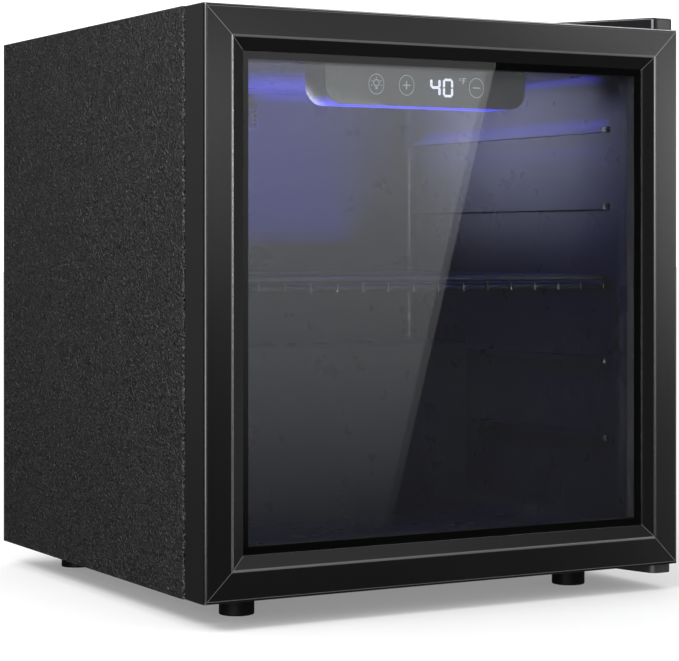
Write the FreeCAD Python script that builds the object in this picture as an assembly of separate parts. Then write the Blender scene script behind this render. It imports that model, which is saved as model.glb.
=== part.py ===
"""Mini fridge with a glass door: cabinet, swinging door, sliding wire shelf and two levelling feet.

Millimetres. +X is to the right seen from the front, +Y to the back, +Z up.
The origin is on the floor, in the middle of the fridge's width and depth.
"""

import FreeCAD, Part
import math
import os

V = FreeCAD.Vector
RIGHT = V(1, 0, 0)
BACKWARD = V(0, 1, 0)
UP = V(0, 0, 1)

# ---- overall sizes ----
WIDTH = 450.0
DEPTH = 429.0
BODY_HEIGHT = 459.0
FOOT_HEIGHT = 21.0
DOOR_THICKNESS = 34.5
DOOR_GAP = 3.5
DOOR_END_CLEAR = 0.6

# ---- general clearances ----
SEAM = 0.3
HOLE_CLEAR = 0.1
PAST = 1.0
PARALLEL = 0.999
EDGE_NEAR = 0.1
MOVING_CLEAR = 0.3
PIN_CLEAR = 0.1

# ---- cabinet sheet metal ----
SHEET = 0.8
FRONT_RETURN = 12.0
REAR_RETURN = 14.0
TRAY_FLANGE = 12.0
FOLD_RADIUS = 2.0
BEAD_HEIGHT = 0.8
BEAD_WIDTH = 8.0
BEAD_COUNT = 4
BEAD_ROUNDING = 0.45
BEAD_SINK = 0.6

# ---- insulated walls and liner ----
SIDE_WALL = 35.0
TOP_WALL = 39.0
BOTTOM_WALL = 20.0
BACK_WALL = 45.0
LINER_WALL = 1.5
LINER_CORNER = 18.0
LINER_REAR_CORNER = 10.0

# ---- compressor bay ----
BAY_ROOM = 12.0
BAY_HEADROOM = 23.2
BAY_WALL = 30.0
RAIL_HEIGHT = 42.0

# ---- shelf and its guides ----
LEDGE_REACH = 7.0
LEDGE_HEIGHT = 5.0
LEDGE_PITCH = 67.0
LEDGE_ABOVE_DOOR_FOOT = 243.0
LEDGE_MARGIN = 30.0
LEDGE_SETBACK = 14.0
LEDGE_END_ROUNDING = 0.8
SHELF_SETBACK = 7.0
SHELF_SIDE_CLEAR = 2.0
SHELF_BACK_CLEAR = 6.0
SHELF_ROD = 2.5
SHELF_WIRE = 1.5
SHELF_CROSS = 2.0
SHELF_CORNER = 12.0
SHELF_WIRE_PITCH = 24.0
SHELF_WIRE_SIDE_CLEAR = 1.0
SHELF_CROSS_FRONT = 12.0
SHELF_CROSS_BACK = 20.0
WIRE_TIP = 6.0
WIRE_BEND = 2.5

# ---- door section, measured from the door's outer edge (in) and front face (back) ----
FACE_WIDTH = 24.0
BEVEL_WIDTH = 11.0
BEVEL_DEPTH = 4.0
LIP = 1.2
GLASS = 3.2
GLASS_SPACE = 10.0
GLASS_HOLD = 8.0
GLASS_EDGE_CLEAR = 0.3
SPACER_SIGHT = 6.0
OUTER_EDGE_RADIUS = 2.5
RIDGE_RADIUS = 6.0
BEVEL_END_RADIUS = 0.4
BACK_EDGE_RADIUS = 1.2
INNER_FRAME_CORNER = 2.0
GASKET_CORNER = 4.0
PROFILE_WALL = 4.0
CHAMBER_FRONT = 7.5
CHAMBER_DEPTH = 12.0
SKIN = 8.0
INNER_FRAME_REACH = 38.0
KEY_ARM = 45.0
KEY_CLEAR = 0.2
GASKET_INSET = 15.0
GASKET_WIDTH = 14.0
GASKET_SEAT = 4.0
GASKET_CLEAR = 0.3
MAGNET_WIDTH = 8.0
MAGNET_THICK = 2.4
MAGNET_COVER = 0.8
MAGNET_CORNER = 2.0

# ---- hinges ----
PIVOT_INSET = 11.0
SWING_CLEAR = 0.5
PIN_RADIUS = 3.0
BUSH_RADIUS = 5.0
BUSH_LENGTH = 12.0
HINGE_PLATE = 2.5
COVER_HEIGHT = 9.7
COVER_WALL = 1.6
COVER_PIN_AHEAD = 3.43
COVER_PIN_BESIDE = 2.6
COVER_BACK_WIDTH = 73.0
COVER_LENGTH = 86.0
COVER_SIDE_CLEAR = 0.5
COVER_CORNERS = [6.0, 3.0, 3.0, 5.0]
COVER_RIM = 1.5
BRACKET_HEIGHT = 7.0
BRACKET_LENGTH = 85.0
BRACKET_ANGLE = 19.0
BRACKET_WALL = 1.6
BRACKET_CORNERS = [9.0, 9.0, 3.0, 3.0]
BRACKET_LEAN_SHARE = 0.8
REINFORCEMENT = 3.0
REINFORCEMENT_MARGIN = 9.0
PIN_HEAD = 2.0
PIN_HEAD_RIM = 1.8
PIN_TIP_CLEAR = 1.0
BUSH_END = 0.5
BUSH_HOLE_SPARE = 1.0
HOLE_PLUG_DEPTH = 5.0

# ---- screws ----
SCREW_RADIUS = 1.8
SCREW_LENGTH = 9.0
SCREW_HEAD_RADIUS = 3.6
SCREW_HEAD_HEIGHT = 2.2
SCREW_EDGE = 16.0
TOP_SCREW_PITCH = 18.0
TOP_SCREW_SETBACK = 36.0
TOP_SCREW_COUNT = 3
BOTTOM_SCREW_SETBACK = 14.0
BOTTOM_SCREW_PITCH = 24.0
REAR_SCREW_MARGIN = 20.0
PLUG_STEM = 4.0
PLUG_CAP = 1.2

# ---- feet ----
FOOT_RADIUS = 14.25
FOOT_FLANGE_RADIUS = 17.0
FRONT_FOOT_INSET = 63.4
FRONT_FOOT_SETBACK = 72.0
REAR_FOOT_INSET = 53.5
REAR_FOOT_SETBACK = 50.0
STUD_RADIUS = 4.0
STUD_LENGTH = 13.0
NUT_RADIUS = 8.0
NUT_HEIGHT = 7.0
FOOT_RIM = 1.0
FOOT_FLANGE = 4.0
NUT_WELL_RATIO = 1.1

# ---- control unit under the ceiling ----
PANEL_SETBACK = 7.0
PANEL_HALF_WIDTH = 96.5
PANEL_HEIGHT = 32.0
PANEL_DEPTH = 34.0
PANEL_CORNER = 16.0
FASCIA = 2.0
HOUSING_WALL = 2.0
BOARD = 1.6
BOARD_STANDOFF = 5.0
LENS_HALF_LENGTH = 78.0
LENS_WIDTH = 14.0
LENS_CORNER = 4.0
LIGHT_BOARD_HALF = 5.0
LED_COUNT = 9
LED_MARGIN = 10.0
LED_LENGTH = 3.6
LED_WIDTH = 3.0
LED_HEIGHT = 1.0
SENSOR_HALF_WIDTH = 14.0
SENSOR_DEPTH = 9.0
SENSOR_HEIGHT = 20.0
SENSOR_BELOW_CEILING = 34.0
SENSOR_CORNER = 3.0
SLIT_COUNT = 4
SLIT_HALF_LENGTH = 10.0
SLIT_DEPTH = 3.0
SLIT_HEIGHT = 2.0
SLIT_PITCH = 4.2
SLIT_START = 2.5
KEY_PLACES = (-46.3, -17.6, 50.4)
KEY_PAD_RADIUS = 5.5
DISPLAY_LEFT = 2.0
DISPLAY_RIGHT = 40.0
DISPLAY_HALF = 8.5

# ---- refrigeration ----
EVAPORATOR_PLATE = 1.2
EVAPORATOR_TUBE = 3.2
EVAPORATOR_MARGIN = 40.0
EVAPORATOR_ABOVE_STEP = 16.0
EVAPORATOR_PITCH = 36.0
CONDENSER_TUBE = 2.4
CONDENSER_PITCH = 44.0
CONDENSER_TOP_MARGIN = 20.0
CONDENSER_END_MARGIN = 30.0
BEND_SHARE = 0.45
SHAFT_RATIO = 1.6
DRIER_RADIUS = 8.0
DRIER_LENGTH = 70.0
DRIER_X = -70.0
DRIER_BEHIND = 10.0
DRIER_ABOVE_BASE = 38.0
DRIER_TUBE_DROP = 14.0
DRIER_TUBE_BEND = 6.0
CAPILLARY_RADIUS = 1.2
CAPILLARY_DROP = 20.0
CAPILLARY_BEND = 7.0
SUCTION_LEVEL = 0.62
SUCTION_BEND = 8.0
DISCHARGE_LEVEL = 0.30
DISCHARGE_BEHIND = 12.0
DISCHARGE_BEND = 9.0
COMPRESSOR_X = 55.0
COMPRESSOR_LENGTH = 138.0
COMPRESSOR_WIDTH = 94.0
COMPRESSOR_HEIGHT = 100.0
COMPRESSOR_CORNER = 42.0
COMPRESSOR_CROWN = 20.0
COMPRESSOR_FOOT_ROUNDING = 10.0
COMPRESSOR_SEAM = 2.0
DRIP_TRAY_HEIGHT = 10.0
DRIP_TRAY_WALL = 1.5
DRIP_TRAY_HALF_LENGTH = 52.0
DRIP_TRAY_HALF_WIDTH = 36.0
GROMMET_RADIUS = 9.0
GROMMET_HEIGHT = 14.0
GROOVE_START_SHARE = 0.4
GROOVE_HEIGHT_SHARE = 0.2
BASE_BRACKET = 2.0
BOLT_RADIUS = 3.0
BOLT_OUTSET = 12.0
BOLT_INSET = 14.0
BOLT_HEAD = 3.0
BOLT_NUT = 5.0
BOLT_TIP = 8.0
BOLT_HEAD_RATIO = 1.8
GROMMET_GROOVE = 2.0
BASE_CORNER = 9.0
BASE_OUTSET = 22.0
BASE_INSET = 4.0
RELAY_LENGTH = 36.0
RELAY_HALF_WIDTH = 24.0
RELAY_HEIGHT = 46.0
RELAY_ABOVE_FOOT = 14.0
RELAY_SUNK = 8.0
RELAY_CORNER = 4.0
SHELL_LIP = 3.0
DRIP_TRAY_CORNER = 8.0
GLAND_BORE = 3.75
GLAND_BARREL = 6.0
GLAND_FLANGE = 9.5
GLAND_LENGTH = 12.0
GLAND_INNER_FLANGE = 3.0
GLAND_PROUD = 3.2
GLAND_INSET = 75.0
GLAND_ABOVE_BASE = 28.0
DRAIN_RADIUS = 7.0
DRAIN_BORE = 5.0

# ---- planes that follow from the sizes ----
HALF_W = WIDTH / 2
Y_FRONT = -(DEPTH + GLAND_PROUD) / 2
Y_DOOR_BACK = Y_FRONT + DOOR_THICKNESS
Y_CAB = Y_DOOR_BACK + DOOR_GAP
Y_BACK = Y_FRONT + DEPTH
Z_BASE = FOOT_HEIGHT
Z_TOP = FOOT_HEIGHT + BODY_HEIGHT
Z_DOOR_LOW = Z_BASE + DOOR_END_CLEAR
Z_DOOR_HIGH = Z_TOP - DOOR_END_CLEAR
CAVITY_HALF = HALF_W - SIDE_WALL
BAY_DEPTH = COMPRESSOR_WIDTH + 2 * BAY_ROOM
BAY_STACK = SHEET + GROMMET_HEIGHT + BASE_BRACKET + COMPRESSOR_HEIGHT + DRIP_TRAY_HEIGHT
BAY_HEIGHT = BAY_STACK + BAY_HEADROOM
Y_CAVITY_BACK = Y_BACK - BACK_WALL
Z_FLOOR = Z_BASE + BOTTOM_WALL
Z_CEILING = Z_TOP - TOP_WALL
Y_BAY = Y_BACK - BAY_DEPTH
Z_BAY = Z_BASE + BAY_HEIGHT
Y_STEP = Y_BAY - BAY_WALL
Z_STEP = Z_BAY + BAY_WALL
Z_LEDGE = Z_BASE + LEDGE_ABOVE_DOOR_FOOT
SIGHT = FACE_WIDTH + BEVEL_WIDTH
GLASS_INSET = SIGHT - GLASS_HOLD
V_PANE = BEVEL_DEPTH + LIP
V_SPACE = V_PANE + GLASS
V_REAR_PANE = V_SPACE + GLASS_SPACE
V_INNER = V_REAR_PANE + GLASS
SWING_ROOM = DOOR_GAP - SWING_CLEAR
PIVOT_FROM_BACK = (PIVOT_INSET ** 2 - SWING_ROOM ** 2) / (2 * SWING_ROOM)
PIVOT_X = HALF_W - PIVOT_INSET
PIVOT_Y = Y_DOOR_BACK - PIVOT_FROM_BACK
Y_COMPRESSOR = Y_BAY + SHEET + (BAY_DEPTH - 3 * SHEET) / 2
Z_BRACKET = Z_BASE + SHEET + GROMMET_HEIGHT
Z_SHELL = Z_BRACKET + BASE_BRACKET
Z_EVAPORATOR = Z_STEP + EVAPORATOR_ABOVE_STEP
EVAPORATOR_RUNS = int((Z_CEILING - Z_EVAPORATOR) / EVAPORATOR_PITCH)
EVAPORATOR_HALF_WIDTH = CAVITY_HALF - EVAPORATOR_MARGIN
Y_EVAPORATOR = Y_CAVITY_BACK + LINER_WALL + EVAPORATOR_PLATE + EVAPORATOR_TUBE
X_CONDENSER = HALF_W - SHEET - CONDENSER_TUBE
CONDENSER_RUNS = 1 + int((Z_TOP - CONDENSER_TOP_MARGIN - Z_STEP) / CONDENSER_PITCH)
BEYOND = 5.0


# ---- building blocks ----
def box(x0, x1, y0, y1, z0, z1):
    return Part.makeBox(x1 - x0, y1 - y0, z1 - z0, V(x0, y0, z0))


def rod(base, direction, length, radius):
    return Part.makeCylinder(radius, length, base, direction)


def edges_along(shape, direction, keep=None):
    """The straight edges parallel to a direction, of those whose middle passes keep."""
    found = []
    for edge in shape.Edges:
        if edge.Curve.TypeId != "Part::GeomLine":
            continue
        if abs(edge.Curve.Direction.dot(direction)) < PARALLEL:
            continue
        if keep is None or keep(edge.CenterOfMass):
            found.append(edge)
    return found


def rounded_path(points, radius, closed=False):
    """Straight runs through the points, joined by tangent arcs; radius is one value or one each."""
    count = len(points)
    radii = radius if isinstance(radius, list) else [radius] * count
    starts = list(points)
    ends = list(points)
    arcs = {}
    for i in range(count):
        if radii[i] <= 0 or (not closed and i in (0, count - 1)):
            continue
        here = points[i]
        before = (points[i - 1] - here).normalize()
        after = (points[(i + 1) % count] - here).normalize()
        half = before.getAngle(after) / 2
        reach = radii[i] / math.tan(half)
        centre = here + (before + after).normalize() * (radii[i] / math.sin(half))
        starts[i] = here + before * reach
        ends[i] = here + after * reach
        middle = centre + (here - centre).normalize() * radii[i]
        arcs[i] = Part.Arc(starts[i], middle, ends[i]).toShape()
    edges = []
    for i in range(count):
        if i in arcs:
            edges.append(arcs[i])
        if i == count - 1 and not closed:
            break
        following = starts[(i + 1) % count]
        if (following - ends[i]).Length > 1e-6:
            edges.append(Part.LineSegment(ends[i], following).toShape())
    return Part.Wire(edges)


def prism(points, along, radius=0.0):
    """A closed outline with rounded corners, pushed along a vector."""
    return Part.Face(rounded_path(points, radius, closed=True)).extrude(along)


def tube(points, bend, radius):
    """A round bar or filled tube that follows a path with bends of one radius."""
    path = rounded_path(points, bend)
    start = Part.makeCircle(radius, points[0], (points[1] - points[0]).normalize())
    return path.makePipeShell([Part.Wire([start])], True, False)


def group(shapes):
    return Part.makeCompound(shapes)


def mirrored(shape):
    return shape.mirror(V(0, 0, 0), RIGHT)


def ring(inset, width, y0, y1, corner=0.0):
    """A rectangular ring in the door: inset from the door's edge, and wide inwards."""
    def slab(edge, radius):
        x = HALF_W - edge
        z0 = Z_DOOR_LOW + edge
        z1 = Z_DOOR_HIGH - edge
        outline = [V(-x, y0, z0), V(x, y0, z0), V(x, y0, z1), V(-x, y0, z1)]
        return prism(outline, V(0, y1 - y0, 0), radius)
    return slab(inset, corner).cut(slab(inset + width, corner))


def screw(point, into):
    """A pan head screw with its head on the point and its shank going into the part."""
    shank = rod(point, into, SCREW_LENGTH, SCREW_RADIUS)
    head = rod(point - into * SCREW_HEAD_HEIGHT, into, SCREW_HEAD_HEIGHT, SCREW_HEAD_RADIUS)
    return shank.fuse(head)


def screw_hole(point, into):
    return rod(point, into, SCREW_LENGTH + HOLE_CLEAR, SCREW_RADIUS + HOLE_CLEAR)


# ---- places of the fasteners ----
def rear_screw_points():
    x = HALF_W - SHEET - REAR_RETURN / 2
    heights = [Z_BASE + RAIL_HEIGHT / 2, Z_BAY + REAR_SCREW_MARGIN]
    heights += [(Z_BAY + Z_TOP) / 2, Z_TOP - REAR_SCREW_MARGIN]
    return [V(side * x, Y_BACK, z) for z in heights for side in (-1, 1)]


def top_screw_points():
    z = Z_TOP + HINGE_PLATE
    y = Y_CAB + TOP_SCREW_SETBACK
    return [V(HALF_W - SCREW_EDGE - i * TOP_SCREW_PITCH, y, z) for i in range(TOP_SCREW_COUNT)]


def bottom_screw_points():
    z = Z_BASE - HINGE_PLATE
    y = Y_CAB + BOTTOM_SCREW_SETBACK
    return [V(HALF_W - SCREW_EDGE, y + i * BOTTOM_SCREW_PITCH, z) for i in range(2)]


def rear_foot_points():
    y = Y_BACK - REAR_FOOT_SETBACK
    return [V(side * (HALF_W - REAR_FOOT_INSET), y, 0) for side in (-1, 1)]


def front_foot_point(side):
    return V(side * (HALF_W - FRONT_FOOT_INSET), Y_FRONT + FRONT_FOOT_SETBACK, 0)


def bolt_points():
    x = COMPRESSOR_LENGTH / 2 + BOLT_OUTSET
    y = COMPRESSOR_WIDTH / 2 - BOLT_INSET
    places = []
    for i in (-1, 1):
        for j in (-1, 1):
            places.append(V(COMPRESSOR_X + i * x, Y_COMPRESSOR + j * y, Z_BASE + SHEET))
    return places


# ---- cabinet sheet metal ----
def right_side_panel():
    outer = box(0, HALF_W, Y_CAB, Y_BACK - SHEET, Z_BASE, Z_TOP)
    outer = outer.makeFillet(FOLD_RADIUS, edges_along(outer, UP, lambda c: c.x > PAST))
    inner = box(0, HALF_W - SHEET, Y_CAB + SHEET, Y_BACK - 2 * SHEET, Z_BASE - PAST, Z_TOP + PAST)
    inner = inner.makeFillet(FOLD_RADIUS - SHEET, edges_along(inner, UP, lambda c: c.x > PAST))
    panel = outer.cut(inner)
    keep_front = box(HALF_W - FRONT_RETURN, HALF_W, Y_CAB, 0, Z_BASE, Z_TOP)
    keep_rear = box(HALF_W - REAR_RETURN, HALF_W, 0, Y_BACK, Z_BASE, Z_TOP)
    return panel.common(keep_front.fuse(keep_rear)).removeSplitter()


def tray(z_plate, z_rim):
    """A flat sheet with its four edges folded over to the height z_rim."""
    low = min(z_plate, z_rim)
    high = max(z_plate, z_rim)
    side = HALF_W - SHEET - HOLE_CLEAR
    front = HALF_W - FRONT_RETURN - SEAM
    y0 = Y_CAB + FOLD_RADIUS + HOLE_CLEAR
    y1 = Y_BACK - 2 * SHEET - HOLE_CLEAR
    y1_side = Y_BACK - SHEET - FOLD_RADIUS - HOLE_CLEAR
    body = box(-side, side, y0, y1_side, low, high)
    body = body.fuse(box(-front, front, Y_CAB, y1, low, high))
    hollow_low = low + SHEET if z_plate < z_rim else low - PAST
    hollow_high = high + PAST if z_plate < z_rim else high - SHEET
    hollow = box(-side + SHEET, side - SHEET, y0 + SHEET, y1_side - SHEET, hollow_low, hollow_high)
    hollow_front = box(-front + SHEET, front - SHEET, Y_CAB + SHEET, y1 - SHEET, hollow_low, hollow_high)
    return body.cut(hollow).cut(hollow_front).removeSplitter()


def top_panel():
    panel = tray(Z_TOP, Z_TOP - TRAY_FLANGE)
    for point in top_screw_points():
        panel = panel.cut(screw_hole(point, -UP)).cut(screw_hole(mirror_point(point), -UP))
    return panel


def mirror_point(point):
    return V(-point.x, point.y, point.z)


def base_plate():
    plate = tray(Z_BASE, Z_BASE + TRAY_FLANGE)
    for side in (-1, 1):
        foot = front_foot_point(side)
        plate = plate.cut(rod(foot, UP, Z_BASE + BEYOND, STUD_RADIUS + MOVING_CLEAR))
    for point in rear_foot_points():
        plate = plate.cut(screw_hole(V(point.x, point.y, Z_BASE + SHEET), -UP))
    for point in bottom_screw_points():
        plate = plate.cut(screw_hole(point, UP))
    for point in bolt_points():
        plate = plate.cut(rod(point - UP * BEYOND, UP, 2 * BEYOND, BOLT_RADIUS + HOLE_CLEAR))
    return plate


def back_panel():
    x = HALF_W - FOLD_RADIUS
    z0 = Z_BAY
    z1 = Z_TOP - FOLD_RADIUS
    panel = box(-x, x, Y_BACK - SHEET, Y_BACK, z0, z1)
    room = x - 2 * REAR_RETURN
    pitch = (z1 - z0) / (BEAD_COUNT + 1)
    for i in range(BEAD_COUNT):
        z = z0 + (i + 1) * pitch
        outline = [V(-room, 0, z - BEAD_WIDTH / 2), V(room, 0, z - BEAD_WIDTH / 2)]
        outline += [V(room, 0, z + BEAD_WIDTH / 2), V(-room, 0, z + BEAD_WIDTH / 2)]
        bead = prism(outline, V(0, BEAD_HEIGHT, 0), BEAD_WIDTH * BEAD_ROUNDING)
        panel = panel.cut(bead.translated(V(0, Y_BACK - BEAD_HEIGHT * BEAD_SINK, 0)))
    for point in rear_screw_points():
        panel = panel.cut(screw_hole(point + BACKWARD, -BACKWARD))
    return panel


def rear_cross_rail():
    x = HALF_W - FOLD_RADIUS
    rail = box(-x, x, Y_BACK - SHEET, Y_BACK, Z_BASE, Z_BASE + RAIL_HEIGHT)
    rail = rail.cut(rod(gland_point() - BACKWARD * GLAND_LENGTH, BACKWARD, 2 * GLAND_LENGTH,
                        GLAND_BARREL + HOLE_CLEAR))
    for point in rear_screw_points():
        rail = rail.cut(screw_hole(point + BACKWARD, -BACKWARD))
    return rail


def bay_panel():
    side = HALF_W - 2 * SHEET - SEAM
    y1 = Y_BACK - 2 * SHEET - SEAM
    z0 = Z_BASE + SHEET
    upright = box(-side, side, Y_BAY, Y_BAY + SHEET, z0, Z_BAY)
    ceiling = box(-side, side, Y_BAY, y1, Z_BAY, Z_BAY + SHEET)
    panel = upright.fuse(ceiling).removeSplitter()
    panel = panel.cut(rod(drain_point(), -UP, BAY_WALL + 2 * BEYOND, DRAIN_RADIUS + HOLE_CLEAR))
    for x in (evaporator_left(), evaporator_right()):
        panel = panel.cut(tube_shaft(x, Y_EVAPORATOR))
    for side_sign in (-1, 1):
        panel = panel.cut(tube_shaft(side_sign * X_CONDENSER, condenser_end()))
    return panel


# ---- liner and foam ----
def cavity(grow):
    """The cold space, with its walls pushed outwards by grow."""
    x = CAVITY_HALF + grow
    y1 = Y_CAVITY_BACK + grow
    shape = box(-x, x, Y_CAB - PAST, y1, Z_FLOOR - grow, Z_CEILING + grow)
    shape = shape.makeFillet(LINER_CORNER + grow, edges_along(shape, BACKWARD))
    step = box(-x - PAST, x + PAST, Y_STEP + grow, y1 + PAST, Z_FLOOR - grow - PAST, Z_STEP - grow)
    shape = shape.cut(step)
    rear = edges_along(shape, RIGHT, lambda c: c.y > y1 - PAST and c.z > Z_STEP + BEYOND)
    return shape.makeFillet(LINER_REAR_CORNER + grow, rear)


def ledge_heights():
    below = int((Z_LEDGE - LEDGE_MARGIN - Z_FLOOR) / LEDGE_PITCH)
    above = int((Z_CEILING - LEDGE_MARGIN - Z_LEDGE) / LEDGE_PITCH)
    return [Z_LEDGE + i * LEDGE_PITCH for i in range(-below, above + 1)]


def inner_liner():
    edge = HALF_W - FRONT_RETURN - 2 * SEAM
    low = Z_BASE + TRAY_FLANGE + SEAM
    high = Z_TOP - TRAY_FLANGE - SEAM
    flange = box(-edge, edge, Y_CAB, Y_CAB + LINER_WALL, low, high)
    room = cavity(0)
    liner = cavity(LINER_WALL).fuse(flange)
    liner = liner.cut(box(-HALF_W, HALF_W, Y_CAB - 2 * PAST, Y_CAB, 0, Z_TOP)).cut(room)
    for z in ledge_heights():
        y1 = Y_STEP - BEYOND if z < Z_STEP + BEYOND else Y_CAVITY_BACK - LINER_REAR_CORNER
        x = CAVITY_HALF + LINER_WALL / 2
        ledge = box(CAVITY_HALF - LEDGE_REACH, x, Y_CAB + LEDGE_SETBACK, y1, z - LEDGE_HEIGHT, z)
        ends = edges_along(ledge, UP, lambda c: c.x < CAVITY_HALF)
        ledge = ledge.makeFillet(LEDGE_REACH * LEDGE_END_ROUNDING, ends)
        liner = liner.fuse(ledge).fuse(mirrored(ledge))
    liner = liner.cut(rod(drain_point() + UP, -UP, BEYOND, DRAIN_BORE))
    return liner.removeSplitter()


def foam_insulation(embedded):
    """Foam fills the walls between the sheet metal, the liner and the compressor bay."""
    side = HALF_W - SHEET - HOLE_CLEAR
    y1 = Y_BACK - 2 * SHEET - HOLE_CLEAR
    foam = box(-side, side, Y_CAB + LINER_WALL, y1, Z_BASE + SHEET, Z_TOP - SHEET)
    foam = foam.cut(cavity(LINER_WALL))
    foam = foam.cut(box(-HALF_W, HALF_W, Y_BAY, Y_BACK, 0, Z_BAY + SHEET))
    pocket_y = Y_CAVITY_BACK + LINER_WALL
    x = EVAPORATOR_HALF_WIDTH + 2 * BEYOND
    top = Z_EVAPORATOR + EVAPORATOR_RUNS * EVAPORATOR_PITCH
    depth = EVAPORATOR_PLATE + 2 * EVAPORATOR_TUBE + HOLE_CLEAR
    foam = foam.cut(box(-x, x, pocket_y, pocket_y + depth, Z_EVAPORATOR - 2 * BEYOND, top))
    for x in (evaporator_left(), evaporator_right()):
        foam = foam.cut(tube_shaft(x, Y_EVAPORATOR))
    reach = 2 * CONDENSER_TUBE + HOLE_CLEAR
    for sign in (-1, 1):
        a = sign * (HALF_W - SHEET - reach)
        b = sign * HALF_W
        top = Z_TOP - CONDENSER_TOP_MARGIN
        slot = box(min(a, b), max(a, b), Y_CAB + 2 * BEYOND, condenser_end() + BEYOND, Z_BAY, top)
        foam = foam.cut(slot)
    foam = foam.cut(rod(drain_point(), -UP, 2 * BAY_WALL, DRAIN_RADIUS + HOLE_CLEAR))
    for sign in (-1, 1):
        well = rod(front_foot_point(sign), UP, Z_BASE + STUD_LENGTH + PAST, NUT_RADIUS * NUT_WELL_RATIO)
        foam = foam.cut(well)
    for point in rear_screw_points():
        foam = foam.cut(screw_hole(point, -BACKWARD))
    for point in bottom_screw_points():
        foam = foam.cut(screw_hole(point, UP))
    for point in top_screw_points():
        foam = foam.cut(screw_hole(point, -UP)).cut(screw_hole(mirror_point(point), -UP))
    for part in embedded:
        foam = foam.cut(part)
    return foam


# ---- refrigeration circuit ----
def evaporator_left():
    return -EVAPORATOR_HALF_WIDTH + EVAPORATOR_PITCH / 2


def evaporator_right():
    return EVAPORATOR_HALF_WIDTH


def tube_shaft(x, y):
    """The hole that lets a tube out of the wall down into the compressor bay."""
    return rod(V(x, y, Z_BAY - BEYOND), UP, Z_EVAPORATOR - Z_BAY, SHAFT_RATIO * EVAPORATOR_TUBE)


def drain_point():
    return V(COMPRESSOR_X, Y_COMPRESSOR, Z_STEP)


def condenser_end():
    return Y_BACK - CONDENSER_END_MARGIN


def evaporator_plate():
    y = Y_CAVITY_BACK + LINER_WALL
    x = EVAPORATOR_HALF_WIDTH + BEYOND
    z1 = Z_EVAPORATOR + (EVAPORATOR_RUNS - 1) * EVAPORATOR_PITCH + 2 * BEYOND
    return box(-x, x, y, y + EVAPORATOR_PLATE, Z_EVAPORATOR - BEYOND, z1)


def evaporator_tube():
    """Runs to and fro behind the liner's back wall; both ends turn down to the bay."""
    points = [V(evaporator_right(), Y_EVAPORATOR, Z_EVAPORATOR - BEYOND)]
    x = EVAPORATOR_HALF_WIDTH
    inner = evaporator_left() + EVAPORATOR_PITCH
    for i in range(1, EVAPORATOR_RUNS):
        z = Z_EVAPORATOR + i * EVAPORATOR_PITCH
        far = inner if i % 2 else x
        if i == EVAPORATOR_RUNS - 1:
            far = evaporator_left()
        points.append(V(points[-1].x, Y_EVAPORATOR, z))
        points.append(V(far, Y_EVAPORATOR, z))
    points.append(V(evaporator_left(), Y_EVAPORATOR, Z_EVAPORATOR - BEYOND))
    return tube(points, EVAPORATOR_PITCH * BEND_SHARE, EVAPORATOR_TUBE)


def condenser_tube():
    """Runs up the right wall against the side panel, and its lower end drops into the bay."""
    front = Y_CAB + CONDENSER_END_MARGIN
    rear = condenser_end()
    z = Z_STEP
    points = [V(X_CONDENSER, rear, Z_BAY - 2 * BEYOND)]
    y = rear
    for i in range(CONDENSER_RUNS):
        points.append(V(X_CONDENSER, y, z + i * CONDENSER_PITCH))
        y = front if i % 2 == 0 else rear - CONDENSER_PITCH
        points.append(V(X_CONDENSER, y, z + i * CONDENSER_PITCH))
    return tube(points, CONDENSER_PITCH * BEND_SHARE, CONDENSER_TUBE)


def drier_point():
    return V(DRIER_X, Y_COMPRESSOR + DRIER_BEHIND, Z_BASE + DRIER_ABOVE_BASE)


def filter_drier():
    point = drier_point()
    neck = CONDENSER_TUBE
    wide = DRIER_RADIUS
    top = DRIER_LENGTH
    lower = [V(0, 0, 0), V(neck, 0, 0), V(wide, 0, wide)]
    upper = [V(wide, 0, top - wide), V(neck, 0, top), V(0, 0, top)]
    face = Part.Face(rounded_path(lower + upper, 0.0, closed=True))
    return face.revolve(V(0, 0, 0), UP, 360).translated(point)


def drier_tube():
    """From the left wall's condenser tube to the top of the filter drier."""
    start = V(-X_CONDENSER, condenser_end(), Z_BAY - 2 * BEYOND)
    end = drier_point() + UP * DRIER_LENGTH
    low = V(start.x, start.y, start.z - DRIER_TUBE_DROP)
    across = V(end.x, start.y, low.z)
    above = V(end.x, end.y, low.z)
    return tube([start, low, across, above, end], DRIER_TUBE_BEND, CONDENSER_TUBE)


def capillary_tube():
    """From the foot of the drier round and up to the evaporator's left end."""
    start = drier_point()
    low = start - UP * CAPILLARY_DROP
    x = evaporator_left()
    side = V(x, start.y, low.z)
    rear = V(x, Y_EVAPORATOR, low.z)
    end = V(x, Y_EVAPORATOR, Z_EVAPORATOR - BEYOND)
    return tube([start, low, side, rear, end], CAPILLARY_BEND, CAPILLARY_RADIUS)


def suction_tube():
    """From the evaporator's right end down to the compressor's side."""
    top = V(evaporator_right(), Y_EVAPORATOR, Z_EVAPORATOR - BEYOND)
    z = Z_SHELL + COMPRESSOR_HEIGHT * SUCTION_LEVEL
    low = V(top.x, top.y, z)
    front = V(top.x, Y_COMPRESSOR, z)
    shell = V(COMPRESSOR_X + COMPRESSOR_LENGTH / 2, Y_COMPRESSOR, z)
    return tube([top, low, front, shell], SUCTION_BEND, EVAPORATOR_TUBE)


def discharge_tube():
    """From the compressor's side to the right wall's condenser tube."""
    end = V(X_CONDENSER, condenser_end(), Z_BAY - 2 * BEYOND)
    z = Z_SHELL + COMPRESSOR_HEIGHT * DISCHARGE_LEVEL
    y = Y_COMPRESSOR + DISCHARGE_BEHIND
    shell = V(COMPRESSOR_X + COMPRESSOR_LENGTH / 2, y, z)
    out = V(end.x, y, z)
    rear = V(end.x, end.y, z)
    return tube([shell, out, rear, end], DISCHARGE_BEND, CONDENSER_TUBE)


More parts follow.
